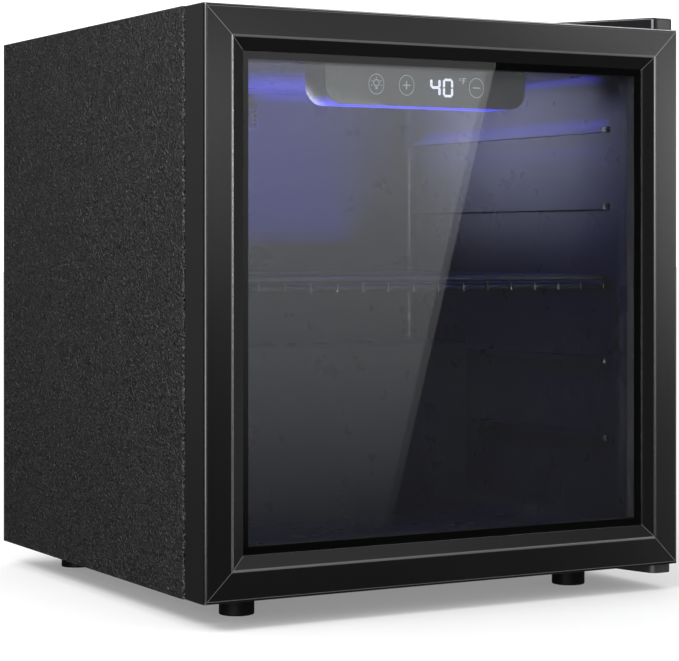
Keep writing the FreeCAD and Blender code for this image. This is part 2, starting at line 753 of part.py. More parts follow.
def compressor_rectangle(x, y, z):
    """The corners of a level rectangle about the compressor's middle."""
    centre = V(COMPRESSOR_X, Y_COMPRESSOR, z)
    return [centre + V(i * x, j * y, 0) for i, j in ((-1, -1), (1, -1), (1, 1), (-1, 1))]


def shell_outline(grow, z):
    return compressor_rectangle(COMPRESSOR_LENGTH / 2 + grow, COMPRESSOR_WIDTH / 2 + grow, z)


def compressor_lower_shell():
    z1 = Z_SHELL + COMPRESSOR_HEIGHT / 2
    shell = prism(shell_outline(0, Z_SHELL), UP * (z1 - Z_SHELL), COMPRESSOR_CORNER)
    foot = [e for e in shell.Edges if e.CenterOfMass.z < Z_SHELL + EDGE_NEAR]
    shell = shell.makeFillet(COMPRESSOR_FOOT_ROUNDING, foot)
    lip_outline = shell_outline(COMPRESSOR_SEAM, z1 - SHELL_LIP)
    lip = prism(lip_outline, UP * SHELL_LIP, COMPRESSOR_CORNER + COMPRESSOR_SEAM)
    return shell.fuse(lip)


def compressor_upper_shell():
    z0 = Z_SHELL + COMPRESSOR_HEIGHT / 2
    shell = prism(shell_outline(0, z0), UP * (COMPRESSOR_HEIGHT / 2), COMPRESSOR_CORNER)
    crown = [e for e in shell.Edges if e.CenterOfMass.z > Z_SHELL + COMPRESSOR_HEIGHT - EDGE_NEAR]
    shell = shell.makeFillet(COMPRESSOR_CROWN, crown)
    return shell.cut(suction_tube())


def compressor_base():
    x = COMPRESSOR_LENGTH / 2 + BASE_OUTSET
    y = COMPRESSOR_WIDTH / 2 - BASE_INSET
    z = Z_BRACKET
    plate = prism(compressor_rectangle(x, y, z), UP * BASE_BRACKET, BASE_CORNER)
    for point in bolt_points():
        plate = plate.cut(rod(V(point.x, point.y, z - PAST), UP, BEYOND, BOLT_RADIUS + HOLE_CLEAR))
    return plate


def compressor_grommets():
    grommets = []
    for point in bolt_points():
        body = rod(point, UP, GROMMET_HEIGHT, GROMMET_RADIUS)
        start = point + UP * GROMMET_HEIGHT * GROOVE_START_SHARE
        groove = rod(start, UP, GROMMET_HEIGHT * GROOVE_HEIGHT_SHARE, GROMMET_RADIUS + PAST)
        groove = groove.cut(rod(point, UP, GROMMET_HEIGHT, GROMMET_RADIUS - GROMMET_GROOVE))
        bore = rod(point, UP, GROMMET_HEIGHT, BOLT_RADIUS + HOLE_CLEAR)
        grommets.append(body.cut(groove).cut(bore))
    return group(grommets)


def compressor_bolts():
    bolts = []
    for point in bolt_points():
        under = point - UP * SHEET
        length = SHEET + GROMMET_HEIGHT + BASE_BRACKET
        shank = rod(under, UP, length + BOLT_TIP, BOLT_RADIUS)
        head = rod(under - UP * BOLT_HEAD, UP, BOLT_HEAD, BOLT_RADIUS * BOLT_HEAD_RATIO)
        nut = rod(under + UP * length, UP, BOLT_NUT, BOLT_RADIUS * BOLT_HEAD_RATIO)
        bolts.append(shank.fuse(head).fuse(nut))
    return group(bolts)


def relay_cover():
    x1 = COMPRESSOR_X - COMPRESSOR_LENGTH / 2 + RELAY_SUNK
    y0 = Y_COMPRESSOR - RELAY_HALF_WIDTH
    z0 = Z_SHELL + RELAY_ABOVE_FOOT
    cover = box(x1 - RELAY_LENGTH, x1, y0, y0 + 2 * RELAY_HALF_WIDTH, z0, z0 + RELAY_HEIGHT)
    cover = cover.makeFillet(RELAY_CORNER, edges_along(cover, UP, lambda c: c.x < x1 - PAST))
    cover = cover.cut(compressor_lower_shell()).cut(compressor_upper_shell())
    return max(cover.Solids, key=lambda s: s.Volume)


def drip_tray():
    """An open tray on the compressor's crown, where its heat dries up the water."""
    z0 = Z_SHELL + COMPRESSOR_HEIGHT
    outer = compressor_rectangle(DRIP_TRAY_HALF_LENGTH, DRIP_TRAY_HALF_WIDTH, z0)
    inner = inset_outline(outer, DRIP_TRAY_WALL)
    room = prism(inner, UP * DRIP_TRAY_HEIGHT, DRIP_TRAY_CORNER - DRIP_TRAY_WALL)
    room = room.translated(UP * DRIP_TRAY_WALL)
    return prism(outer, UP * DRIP_TRAY_HEIGHT, DRIP_TRAY_CORNER).cut(room)


def drain_tube():
    top = drain_point() - UP * LINER_WALL
    length = BAY_WALL + SHEET + BEYOND
    return rod(top, -UP, length, DRAIN_RADIUS).cut(rod(top, -UP, length, DRAIN_BORE))


def gland_point():
    return V(GLAND_INSET - HALF_W, Y_BACK, Z_BASE + GLAND_ABOVE_BASE)


def cord_gland():
    """A rubber grommet in the cross rail, where a power cord would come through."""
    point = gland_point()
    start = point - BACKWARD * (GLAND_LENGTH - GLAND_PROUD)
    barrel = rod(start, BACKWARD, GLAND_LENGTH, GLAND_BARREL)
    inner_start = point - BACKWARD * (SHEET + GLAND_INNER_FLANGE)
    inner = rod(inner_start, BACKWARD, GLAND_INNER_FLANGE, GLAND_FLANGE)
    bore = rod(start, BACKWARD, GLAND_LENGTH, GLAND_BORE)
    return barrel.fuse(inner).cut(bore)


# ---- control unit ----
def panel_outline(y, grow=0.0):
    x = PANEL_HALF_WIDTH + grow
    low = Z_CEILING - PANEL_HEIGHT - grow
    return [V(-x, y, low), V(x, y, low), V(x, y, Z_CEILING), V(-x, y, Z_CEILING)]


def control_fascia():
    y = Y_CAB + PANEL_SETBACK
    radii = [PANEL_CORNER, PANEL_CORNER, 0.0, 0.0]
    return prism(panel_outline(y), V(0, FASCIA, 0), radii)


def control_housing():
    y = Y_CAB + PANEL_SETBACK + FASCIA
    depth = PANEL_DEPTH - FASCIA
    radii = [PANEL_CORNER, PANEL_CORNER, 0.0, 0.0]
    shell = prism(panel_outline(y), V(0, depth, 0), radii)
    inner_radii = [PANEL_CORNER - HOUSING_WALL, PANEL_CORNER - HOUSING_WALL, 0.0, 0.0]
    room = prism(panel_outline(y - PAST, -HOUSING_WALL), V(0, depth - HOUSING_WALL + PAST, 0), inner_radii)
    shell = shell.cut(room)
    return shell.cut(lens_shape(HOLE_CLEAR))


def lens_middle():
    return Y_CAB + PANEL_SETBACK + PANEL_DEPTH / 2


def lens_shape(grow):
    x = LENS_HALF_LENGTH + grow
    y = LENS_WIDTH / 2 + grow
    z = Z_CEILING - PANEL_HEIGHT
    middle = lens_middle()
    outline = [V(-x, middle - y, z), V(x, middle - y, z), V(x, middle + y, z), V(-x, middle + y, z)]
    return prism(outline, UP * (HOUSING_WALL + grow), LENS_CORNER)


def light_lens():
    return lens_shape(0.0)


def light_board():
    z = Z_CEILING - PANEL_HEIGHT + HOUSING_WALL + BOARD_STANDOFF
    middle = lens_middle()
    x = LENS_HALF_LENGTH
    board = box(-x, x, middle - LIGHT_BOARD_HALF, middle + LIGHT_BOARD_HALF, z, z + BOARD)
    pitch = 2 * (x - LED_MARGIN) / (LED_COUNT - 1)
    y0 = middle - LED_WIDTH / 2
    for i in range(LED_COUNT):
        x0 = -x + LED_MARGIN + i * pitch - LED_LENGTH / 2
        board = board.fuse(box(x0, x0 + LED_LENGTH, y0, y0 + LED_WIDTH, z - LED_HEIGHT, z))
    return board


def control_board():
    """The circuit board, with its display and a touch pad behind each key."""
    y0 = Y_CAB + PANEL_SETBACK + FASCIA
    y = y0 + BOARD_STANDOFF
    x = PANEL_HALF_WIDTH - PANEL_CORNER
    low = Z_CEILING - PANEL_HEIGHT + 2 * HOUSING_WALL
    middle = Z_CEILING - PANEL_HEIGHT / 2
    board = box(-x, x, y, y + BOARD, low, Z_CEILING - 2 * HOUSING_WALL)
    display = box(DISPLAY_LEFT, DISPLAY_RIGHT, y0, y, middle - DISPLAY_HALF, middle + DISPLAY_HALF)
    pads = [rod(V(x, y0, middle), BACKWARD, BOARD_STANDOFF, KEY_PAD_RADIUS) for x in KEY_PLACES]
    return group([board, display] + pads)


def sensor_cover():
    """A small louvred cap on the liner's back wall, over the temperature sensor."""
    y1 = Y_CAVITY_BACK
    x = SENSOR_HALF_WIDTH
    y0 = y1 - SENSOR_DEPTH
    z = Z_CEILING - SENSOR_BELOW_CEILING
    cap = box(-x, x, y0, y1, z, z + SENSOR_HEIGHT)
    cap = cap.makeFillet(SENSOR_CORNER, edges_along(cap, UP, lambda c: c.y < y1 - PAST))
    for i in range(SLIT_COUNT):
        low = z + SLIT_START + i * SLIT_PITCH
        reach = SLIT_HALF_LENGTH
        cap = cap.cut(box(-reach, reach, y0 - PAST, y0 + SLIT_DEPTH, low, low + SLIT_HEIGHT))
    return cap


# ---- hinges ----
def cover_outline(z):
    x1 = HALF_W - COVER_SIDE_CLEAR
    around_pin = PIN_RADIUS + PIN_HEAD_RIM + COVER_WALL
    x0 = PIVOT_X - around_pin - COVER_PIN_BESIDE
    y0 = PIVOT_Y - around_pin - COVER_PIN_AHEAD
    y1 = y0 + COVER_LENGTH
    return [V(x0, y0, z), V(x1, y0, z), V(x1, y1, z), V(x1 - COVER_BACK_WIDTH, y1, z)]


def inset_outline(points, inset):
    """The same convex outline, each side moved inwards by inset."""
    count = len(points)
    centre = points[0]
    for point in points[1:]:
        centre = centre + point
    centre = centre * (1.0 / count)
    lines = []
    for i in range(count):
        start = points[i]
        along = (points[(i + 1) % count] - start).normalize()
        inward = UP.cross(along)
        if inward.dot(centre - start) < 0:
            inward = inward * -1
        lines.append((start + inward * inset, along))
    result = []
    for i in range(count):
        start, along = lines[i - 1]
        other, other_along = lines[i]
        gap = other - start
        turn = along.x * other_along.y - along.y * other_along.x
        reach = (gap.x * other_along.y - gap.y * other_along.x) / turn
        result.append(start + along * reach)
    return result


def inner_corners():
    return [radius - COVER_WALL for radius in COVER_CORNERS]


def hinge_cover():
    outline = cover_outline(Z_TOP)
    shell = prism(outline, UP * COVER_HEIGHT, COVER_CORNERS)
    rim = [e for e in shell.Edges if e.CenterOfMass.z > Z_TOP + COVER_HEIGHT - EDGE_NEAR]
    shell = shell.makeFillet(COVER_RIM, rim)
    inner = inset_outline(outline, COVER_WALL)
    room = prism(inner, UP * (COVER_HEIGHT - COVER_WALL), inner_corners())
    return shell.cut(room)


def upper_hinge_plate():
    inner = inset_outline(cover_outline(Z_TOP), COVER_WALL + SEAM)
    plate = prism(inner, UP * HINGE_PLATE, inner_corners())
    plate = plate.cut(rod(V(PIVOT_X, PIVOT_Y, Z_TOP), UP, HINGE_PLATE, PIN_RADIUS + HOLE_CLEAR))
    for point in top_screw_points():
        plate = plate.cut(screw_hole(point, -UP))
    return plate


def hinge_reinforcement():
    """A plate under the top panel at each side, which the hinge screws bite into."""
    points = top_screw_points()
    y = points[0].y
    z = Z_TOP - SHEET
    margin = REINFORCEMENT_MARGIN
    x0 = points[-1].x - margin
    x1 = points[0].x + margin - PAST
    plate = box(x0, x1, y - margin, y + margin, z - REINFORCEMENT, z)
    for point in points:
        plate = plate.cut(screw_hole(point, -UP))
    return group([plate, mirrored(plate)])


def bracket_outline(z):
    """Seen from above: round in front about the pin, straight at the side, slanted inwards."""
    x1 = HALF_W - COVER_SIDE_CLEAR
    y0 = PIVOT_Y - PIVOT_INSET
    y1 = PIVOT_Y + BRACKET_LENGTH
    lean = math.tan(math.radians(BRACKET_ANGLE)) * (y1 - y0)
    x0 = PIVOT_X - PIVOT_INSET
    return [V(x0, y0, z), V(x1, y0, z), V(x1, y1, z), V(x0 - lean * BRACKET_LEAN_SHARE, y1, z)]


def lower_hinge_bracket():
    z0 = Z_BASE - BRACKET_HEIGHT
    outline = bracket_outline(z0)
    shell = prism(outline, UP * BRACKET_HEIGHT, BRACKET_CORNERS)
    inner = inset_outline(outline, BRACKET_WALL)
    radii = [radius - BRACKET_WALL for radius in BRACKET_CORNERS]
    room = prism(inner, UP * (BRACKET_HEIGHT - HINGE_PLATE), radii)
    bracket = shell.cut(room)
    pin_hole = rod(V(PIVOT_X, PIVOT_Y, z0), UP, BRACKET_HEIGHT, PIN_RADIUS + HOLE_CLEAR)
    bracket = bracket.cut(pin_hole)
    for point in bottom_screw_points():
        bracket = bracket.cut(screw_hole(point, UP))
    return bracket


def hinge_pins():
    """The upper pin hangs from its plate, and the lower pin stands in its bracket."""
    depth = BUSH_LENGTH - PIN_TIP_CLEAR + DOOR_END_CLEAR
    top = V(PIVOT_X, PIVOT_Y, Z_TOP + HINGE_PLATE)
    upper = rod(top, -UP, HINGE_PLATE + depth, PIN_RADIUS)
    upper = upper.fuse(rod(top, UP, PIN_HEAD, PIN_RADIUS + PIN_HEAD_RIM))
    foot = V(PIVOT_X, PIVOT_Y, Z_BASE - HINGE_PLATE)
    lower = rod(foot, UP, HINGE_PLATE + depth, PIN_RADIUS)
    lower = lower.fuse(rod(foot, -UP, PIN_HEAD, PIN_RADIUS + PIN_HEAD_RIM))
    return group([upper, lower])


def hinge_screws():
    screws = [screw(point, -UP) for point in top_screw_points()]
    screws += [screw(point, UP) for point in bottom_screw_points()]
    return group(screws)


def top_hole_plugs():
    """Caps in the holes that the upper hinge would use at the left."""
    plugs = []
    for point in top_screw_points():
        at = V(-point.x, point.y, Z_TOP)
        stem = rod(at, -UP, PLUG_STEM, SCREW_RADIUS)
        plugs.append(stem.fuse(rod(at, UP, PLUG_CAP, SCREW_HEAD_RADIUS)))
    return group(plugs)


def rear_screws():
    screws = [screw(point, -BACKWARD) for point in rear_screw_points()]
    for point in rear_foot_points():
        screws.append(screw(V(point.x, point.y, Z_BASE + SHEET), -UP))
    return group(screws)


# ---- feet ----
def levelling_foot(side):
    """A ribbed round foot on a threaded stud, screwed fully in."""
    point = front_foot_point(side)
    height = Z_BASE - MOVING_CLEAR
    foot = rod(point, UP, height, FOOT_RADIUS)
    rims = [e for e in foot.Edges if e.Curve.TypeId == "Part::GeomCircle"]
    foot = foot.makeFillet(FOOT_RIM, rims)
    stud = rod(point + UP * (height - PAST), UP, STUD_LENGTH + PAST, STUD_RADIUS)
    return foot.fuse(stud)


def foot_nuts():
    nuts = []
    for side in (-1, 1):
        point = front_foot_point(side) + UP * (Z_BASE + SHEET)
        corners = []
        for i in range(6):
            angle = math.radians(60 * i)
            corners.append(point + V(math.cos(angle), math.sin(angle), 0) * NUT_RADIUS)
        nut = prism(corners, UP * NUT_HEIGHT)
        nuts.append(nut.cut(rod(point, UP, NUT_HEIGHT, STUD_RADIUS + MOVING_CLEAR)))
    return group(nuts)


def rear_feet():
    feet = []
    for point in rear_foot_points():
        foot = rod(point, UP, Z_BASE, FOOT_RADIUS)
        foot = foot.fuse(rod(point + UP * (Z_BASE - FOOT_FLANGE), UP, FOOT_FLANGE, FOOT_FLANGE_RADIUS))
        feet.append(foot.cut(screw_hole(V(point.x, point.y, Z_BASE + SHEET), -UP)))
    return group(feet)


# ---- door ----
def door_section(u, v):
    return V(HALF_W - u, Y_FRONT + v, 0)


def profile_face():
    """The hollow door profile, cut across: u runs inwards from the edge, v backwards."""
    outer = [(0, 0), (FACE_WIDTH, 0), (SIGHT, BEVEL_DEPTH), (SIGHT, V_PANE),
             (GLASS_INSET - GLASS_EDGE_CLEAR, V_PANE), (GLASS_INSET - GLASS_EDGE_CLEAR, V_INNER),
             (SKIN, V_INNER), (SKIN, DOOR_THICKNESS), (0, DOOR_THICKNESS)]
    radii = [OUTER_EDGE_RADIUS, RIDGE_RADIUS, BEVEL_END_RADIUS, 0.0, 0.0, 0.0, 0.0, 0.0, BACK_EDGE_RADIUS]
    shape = Part.Face(rounded_path([door_section(u, v) for u, v in outer], radii, closed=True))
    u0, u1, v0, v1 = chamber()
    hole = [door_section(u, v) for u, v in ((u0, v0), (u1, v0), (u1, v1), (u0, v1))]
    return shape.cut(Part.Face(rounded_path(hole, 0.0, closed=True)))


def chamber():
    u1 = GLASS_INSET - GLASS_EDGE_CLEAR - PROFILE_WALL
    return PROFILE_WALL, u1, CHAMBER_FRONT, CHAMBER_FRONT + CHAMBER_DEPTH


def door_height():
    return Z_DOOR_HIGH - Z_DOOR_LOW


def mitre_wedge(half_long, half_short):
    """The region of the frame that belongs to the bar at +X: cut at 45 degrees at both ends."""
    reach = min(SIGHT + BEYOND, half_short)
    outline = [V(half_short, 0, -half_long), V(half_short, 0, half_long)]
    outline += [V(half_short - reach, 0, half_long - reach), V(half_short - reach, 0, -half_long + reach)]
    return prism([p + V(0, Y_FRONT - PAST, 0) for p in outline], V(0, DOOR_THICKNESS + 2 * PAST, 0))


def frame_bar(half_long, half_short):
    """One mitred bar of the door frame, standing at +X and centred on the door's middle."""
    face = profile_face().translated(V(half_short - HALF_W, 0, -half_long))
    return face.extrude(UP * 2 * half_long).common(mitre_wedge(half_long, half_short))


def door_middle():
    return V(0, 0, (Z_DOOR_LOW + Z_DOOR_HIGH) / 2)


def placed_bar(turn):
    """The bar at the right (0), top (90), left (180) or bottom (270)."""
    upright = turn % 180 == 0
    half_long = door_height() / 2 if upright else HALF_W
    half_short = HALF_W if upright else door_height() / 2
    bar = frame_bar(half_long, half_short)
    bar.rotate(V(0, 0, 0), BACKWARD, -turn)
    bar = bar.translated(door_middle())
    for hole in bush_holes():
        bar = bar.cut(hole)
    return bar


def bush_points():
    """The pivot ends of the door at both sides: (point on the edge, direction into the door)."""
    points = []
    for x in (PIVOT_X, -PIVOT_X):
        points.append((V(x, PIVOT_Y, Z_DOOR_HIGH), -UP))
        points.append((V(x, PIVOT_Y, Z_DOOR_LOW), UP))
    return points


def bush_holes():
    return [rod(point - into, into, BUSH_LENGTH + BUSH_HOLE_SPARE + HOLE_CLEAR, BUSH_RADIUS + HOLE_CLEAR)
            for point, into in bush_points()]


def corner_keys():
    u0, u1, v0, v1 = chamber()
    a = u0 + KEY_CLEAR
    b = u1 - KEY_CLEAR
    y0 = Y_FRONT + v0
    y1 = Y_FRONT + v1
    keys = []
    for side in (-1, 1):
        for end in (-1, 1):
            x0 = HALF_W - a
            z0 = door_height() / 2 - a
            arm_x = box(x0 - KEY_ARM, x0, y0, y1, z0 - (b - a), z0)
            arm_z = box(x0 - (b - a), x0, y0, y1, z0 - KEY_ARM, z0)
            key = arm_x.fuse(arm_z).removeSplitter()
            if side < 0:
                key = mirrored(key)
            if end < 0:
                key = key.mirror(V(0, 0, 0), UP)
            key = key.translated(door_middle())
            for hole in bush_holes():
                key = key.cut(hole)
            keys.append(key)
    return group(keys)


def hinge_bushes():
    bushes = []
    for point, into in bush_points()[:2]:
        bush = rod(point, into, BUSH_LENGTH, BUSH_RADIUS)
        bushes.append(bush.cut(rod(point, into, BUSH_LENGTH - BUSH_END, PIN_RADIUS + PIN_CLEAR)))
    return group(bushes)


def door_hole_plugs():
    return group([rod(point, into, HOLE_PLUG_DEPTH, BUSH_RADIUS) for point, into in bush_points()[2:]])


def pane(v):
    x = HALF_W - GLASS_INSET
    z0 = Z_DOOR_LOW + GLASS_INSET
    z1 = Z_DOOR_HIGH - GLASS_INSET
    return box(-x, x, Y_FRONT + v, Y_FRONT + v + GLASS, z0, z1)


def glass_spacer():
    inset = GLASS_INSET + GLASS_EDGE_CLEAR
    width = SIGHT + SPACER_SIGHT - inset
    return ring(inset, width, Y_FRONT + V_SPACE, Y_FRONT + V_REAR_PANE)


def inner_frame():
    inset = SKIN + SEAM
    width = INNER_FRAME_REACH - inset
    frame = ring(inset, width, Y_FRONT + V_INNER, Y_DOOR_BACK, INNER_FRAME_CORNER)
    seat = ring(GASKET_INSET - HOLE_CLEAR, GASKET_WIDTH + 2 * HOLE_CLEAR,
                Y_DOOR_BACK - GASKET_SEAT, Y_DOOR_BACK + PAST, GASKET_CORNER)
    return frame.cut(seat)


def magnet_ring(grow):
    y1 = Y_CAB - GASKET_CLEAR - MAGNET_COVER + grow
    inset = GASKET_INSET + (GASKET_WIDTH - MAGNET_WIDTH) / 2 - grow
    return inset, y1 - MAGNET_THICK - 2 * grow, y1


def door_gasket():
    y0 = Y_DOOR_BACK - GASKET_SEAT
    gasket = ring(GASKET_INSET, GASKET_WIDTH, y0, Y_CAB - GASKET_CLEAR, GASKET_CORNER)
    inset, y0, y1 = magnet_ring(HOLE_CLEAR)
    return gasket.cut(ring(inset, MAGNET_WIDTH + 2 * HOLE_CLEAR, y0, y1, MAGNET_CORNER))


def magnet_strips():
    inset, y0, y1 = magnet_ring(0.0)
    x1 = HALF_W - inset
    x0 = x1 - MAGNET_WIDTH
    z0 = Z_DOOR_LOW + inset
    z1 = Z_DOOR_HIGH - inset
    end = x1 - MAGNET_CORNER
    right = box(x0, x1, y0, y1, z0 + MAGNET_WIDTH + MAGNET_CORNER, z1 - MAGNET_WIDTH - MAGNET_CORNER)
    top = box(-end, end, y0, y1, z1 - MAGNET_WIDTH, z1)
    bottom = box(-end, end, y0, y1, z0, z0 + MAGNET_WIDTH)
    return group([right, mirrored(right), top, bottom])


# ---- shelf ----
def shelf_half():
    return CAVITY_HALF - SHELF_SIDE_CLEAR - SHELF_ROD


def shelf_front():
    return Y_CAB + SHELF_SETBACK + SHELF_ROD


def shelf_back():
    return Y_CAVITY_BACK - SHELF_BACK_CLEAR - SHELF_ROD


def shelf_level():
    return Z_LEDGE + MOVING_CLEAR + SHELF_ROD


def shelf_frame():
    x = shelf_half()
    z = shelf_level()
    y0 = shelf_front()
    y1 = shelf_back()
    corners = [V(0, y0, z), V(x, y0, z), V(x, y1, z), V(-x, y1, z), V(-x, y0, z), V(0, y0, z)]
    return tube(corners, SHELF_CORNER, SHELF_ROD)


def wire_reach():
    """How far from the middle the outermost wire can lie, between the ledges."""
    return CAVITY_HALF - LEDGE_REACH - SHELF_WIRE_SIDE_CLEAR - SHELF_WIRE


def shelf_wires():
    """Wires run from front to back under the frame, and their front tips turn down."""
    half_count = int(wire_reach() / SHELF_WIRE_PITCH + 0.5)
    z = shelf_level() - SHELF_ROD - SHELF_WIRE
    y0 = shelf_front()
    wires = []
    for i in range(-half_count, half_count):
        x = (i + 0.5) * SHELF_WIRE_PITCH
        tip = V(x, y0, z - WIRE_TIP)
        wires.append(tube([tip, V(x, y0, z), V(x, shelf_back(), z)], WIRE_BEND, SHELF_WIRE))
    return group(wires)


def shelf_cross_rods():
    z = shelf_level() - SHELF_ROD - 2 * SHELF_WIRE - SHELF_CROSS
    x = wire_reach() + SHELF_WIRE / 2
    y0 = shelf_front() + SHELF_CROSS_FRONT
    y1 = shelf_back() - SHELF_CROSS_BACK
    return group([rod(V(-x, y, z), RIGHT, 2 * x, SHELF_CROSS) for y in (y0, (y0 + y1) / 2, y1)])


# ---- all pieces ----
def build():
    right_panel = right_side_panel()
    for point in rear_screw_points():
        right_panel = right_panel.cut(screw_hole(point, -BACKWARD))
    parts = {
        "right_side_panel": right_panel,
        "left_side_panel": mirrored(right_panel),
        "top_panel": top_panel(),
        "base_plate": base_plate(),
        "back_panel": back_panel(),
        "rear_cross_rail": rear_cross_rail(),
        "bay_panel": bay_panel(),
        "inner_liner": inner_liner(),
        "evaporator_plate": evaporator_plate(),
        "evaporator_tube": evaporator_tube(),
        "right_condenser_tube": condenser_tube(),
        "left_condenser_tube": mirrored(condenser_tube()).fuse(drier_tube()),
        "filter_drier": filter_drier(),
        "capillary_tube": capillary_tube(),
        "suction_tube": suction_tube(),
        "discharge_tube": discharge_tube(),
        "compressor_lower_shell": compressor_lower_shell(),
        "compressor_upper_shell": compressor_upper_shell(),
        "compressor_base": compressor_base(),
        "compressor_grommets": compressor_grommets(),
        "compressor_bolts": compressor_bolts(),
        "relay_cover": relay_cover(),
        "drip_tray": drip_tray(),
        "drain_tube": drain_tube(),
        "cord_gland": cord_gland(),
        "control_housing": control_housing(),
        "control_fascia": control_fascia(),
        "control_board": control_board(),
        "light_board": light_board(),
        "light_lens": light_lens(),
        "sensor_cover": sensor_cover(),
        "hinge_cover": hinge_cover(),
        "upper_hinge_plate": upper_hinge_plate(),
        "hinge_reinforcement": hinge_reinforcement(),
        "lower_hinge_bracket": lower_hinge_bracket(),
        "hinge_pins": hinge_pins(),
        "hinge_screws": hinge_screws(),
        "top_hole_plugs": top_hole_plugs(),
        "rear_screws": rear_screws(),
        "foot_nuts": foot_nuts(),
        "rear_feet": rear_feet(),
        "left_levelling_foot": levelling_foot(-1),
        "right_levelling_foot": levelling_foot(1),
        "door_right_stile": placed_bar(0),
        "door_top_rail": placed_bar(90),
        "door_left_stile": placed_bar(180),
        "door_bottom_rail": placed_bar(270),
        "corner_keys": corner_keys(),
        "front_pane": pane(V_PANE),
        "rear_pane": pane(V_REAR_PANE),
        "glass_spacer": glass_spacer(),
        "inner_frame": inner_frame(),
        "door_gasket": door_gasket(),
        "magnet_strips": magnet_strips(),
        "hinge_bushes": hinge_bushes(),
        "door_hole_plugs": door_hole_plugs(),
        "shelf_frame": shelf_frame(),
        "shelf_wires": shelf_wires(),
        "shelf_cross_rods": shelf_cross_rods(),
    }
    names = ("top_panel", "base_plate", "hinge_reinforcement", "left_side_panel", "right_side_panel")
    parts["foam_insulation"] = foam_insulation([parts[name] for name in names])
    return parts


os.makedirs("parts", exist_ok=True)
for name, shape in build().items():
    shape.exportStep("parts/" + name + ".step")
    print(name, len(shape.Solids), shape.isValid(), round(sum(s.Volume for s in shape.Solids)))
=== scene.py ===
"""Mini fridge with a glass door: finishes for the CAD pieces, print, digits, screws and studio."""

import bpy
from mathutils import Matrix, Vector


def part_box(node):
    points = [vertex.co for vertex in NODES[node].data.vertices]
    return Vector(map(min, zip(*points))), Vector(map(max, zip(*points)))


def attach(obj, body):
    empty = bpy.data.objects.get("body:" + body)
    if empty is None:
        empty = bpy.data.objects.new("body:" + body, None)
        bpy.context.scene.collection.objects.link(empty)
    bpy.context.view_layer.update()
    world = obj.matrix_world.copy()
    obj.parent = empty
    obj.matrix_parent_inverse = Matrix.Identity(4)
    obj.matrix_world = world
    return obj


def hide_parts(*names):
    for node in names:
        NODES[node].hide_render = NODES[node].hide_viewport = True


bl_info = {
    "name": "Mini fridge",
    "version": (1, 0, 0),
    "blender": (4, 5, 0),
    "location": "3D View > Sidebar > Mini fridge",
    "description": "Builds the looks of a glass door mini fridge around its packed CAD frame",
    "category": "Object",
}

import math

import bmesh
import bpy
from bpy.props import FloatProperty, FloatVectorProperty, PointerProperty
from bpy.types import Operator, Panel, PropertyGroup
from mathutils import Vector

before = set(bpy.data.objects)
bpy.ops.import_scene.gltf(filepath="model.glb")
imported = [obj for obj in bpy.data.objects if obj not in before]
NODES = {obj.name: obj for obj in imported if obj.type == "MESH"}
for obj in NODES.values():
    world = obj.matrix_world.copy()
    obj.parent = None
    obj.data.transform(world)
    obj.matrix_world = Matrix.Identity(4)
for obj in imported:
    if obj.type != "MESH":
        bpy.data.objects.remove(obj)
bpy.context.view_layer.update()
MM = 0.001


# ---- settings ----
class FinishSettings(PropertyGroup):
    """Colours of the finishes."""
    cabinet_colour: FloatVectorProperty(
        name="Cabinet colour", description="Colour of the embossed side panels", subtype="COLOR",
        size=3, min=0.0, max=1.0, default=(0.0058, 0.0058, 0.0061))
    frame_colour: FloatVectorProperty(
        name="Door frame colour", description="Colour of the door's aluminium profiles", subtype="COLOR",
        size=3, min=0.0, max=1.0, default=(0.0045, 0.0045, 0.0048))
    liner_colour: FloatVectorProperty(
        name="Liner colour", description="Colour of the plastic liner", subtype="COLOR",
        size=3, min=0.0, max=1.0, default=(0.040, 0.040, 0.045))
    light_colour: FloatVectorProperty(
        name="Light colour", description="Colour of the light inside", subtype="COLOR",
        size=3, min=0.0, max=1.0, default=(0.085, 0.078, 1.0))
    digit_colour: FloatVectorProperty(
        name="Digit colour", description="Colour of the display's digits", subtype="COLOR",
        size=3, min=0.0, max=1.0, default=(0.85, 0.9, 1.0))


class SizeSettings(PropertyGroup):
    """Sizes of the small pieces."""
    grain: FloatProperty(
        name="Grain", description="Size of the side panels' embossed grain", unit="LENGTH",
        default=1.8 * MM, min=0.5 * MM, max=6 * MM)
    key_ring: FloatProperty(
        name="Key ring", description="Radius of the printed ring about each key", unit="LENGTH",
        default=8.1 * MM, min=4 * MM, max=12 * MM)
    key_oval: FloatProperty(
        name="Key oval", description="Width of a key's ring as a share of its height",
        default=0.88, min=0.5, max=1.0)
    digit_height: FloatProperty(
        name="Digit height", description="Height of the display's digits", unit="LENGTH",
        default=13.4 * MM, min=8 * MM, max=24 * MM)
    digit_width: FloatProperty(
        name="Digit width", description="Width of one digit", unit="LENGTH",
        default=7.9 * MM, min=4 * MM, max=14 * MM)
    print_thickness: FloatProperty(
        name="Print thickness", description="How far the print stands off the fascia", unit="LENGTH",
        default=0.15 * MM, min=0.05 * MM, max=1 * MM)


class StageSettings(PropertyGroup):
    """Studio and camera."""
    daylight: FloatProperty(
        name="Daylight", description="Strength of the even white light", default=1.35, min=0.0, max=5.0)
    glow: FloatProperty(
        name="Glow", description="Strength of the light inside", default=1.0, min=0.0, max=10.0)
    lens: FloatProperty(
        name="Lens", description="Focal length of the camera in millimetres", default=116.54,
        min=20.0, max=300.0)


def finishes():
    return bpy.context.scene.fridge_finishes


def sizes():
    return bpy.context.scene.fridge_sizes


def stage_settings():
    return bpy.context.scene.fridge_stage


# ---- node materials ----
def new_material(name):
    """A material with its shader and object coordinates."""
    material = bpy.data.materials.new(name)
    material.use_nodes = True
    tree = material.node_tree
    shader = tree.nodes["Principled BSDF"]
    place = tree.nodes.new("ShaderNodeTexCoord")
    return material, tree, shader, place.outputs["Object"]


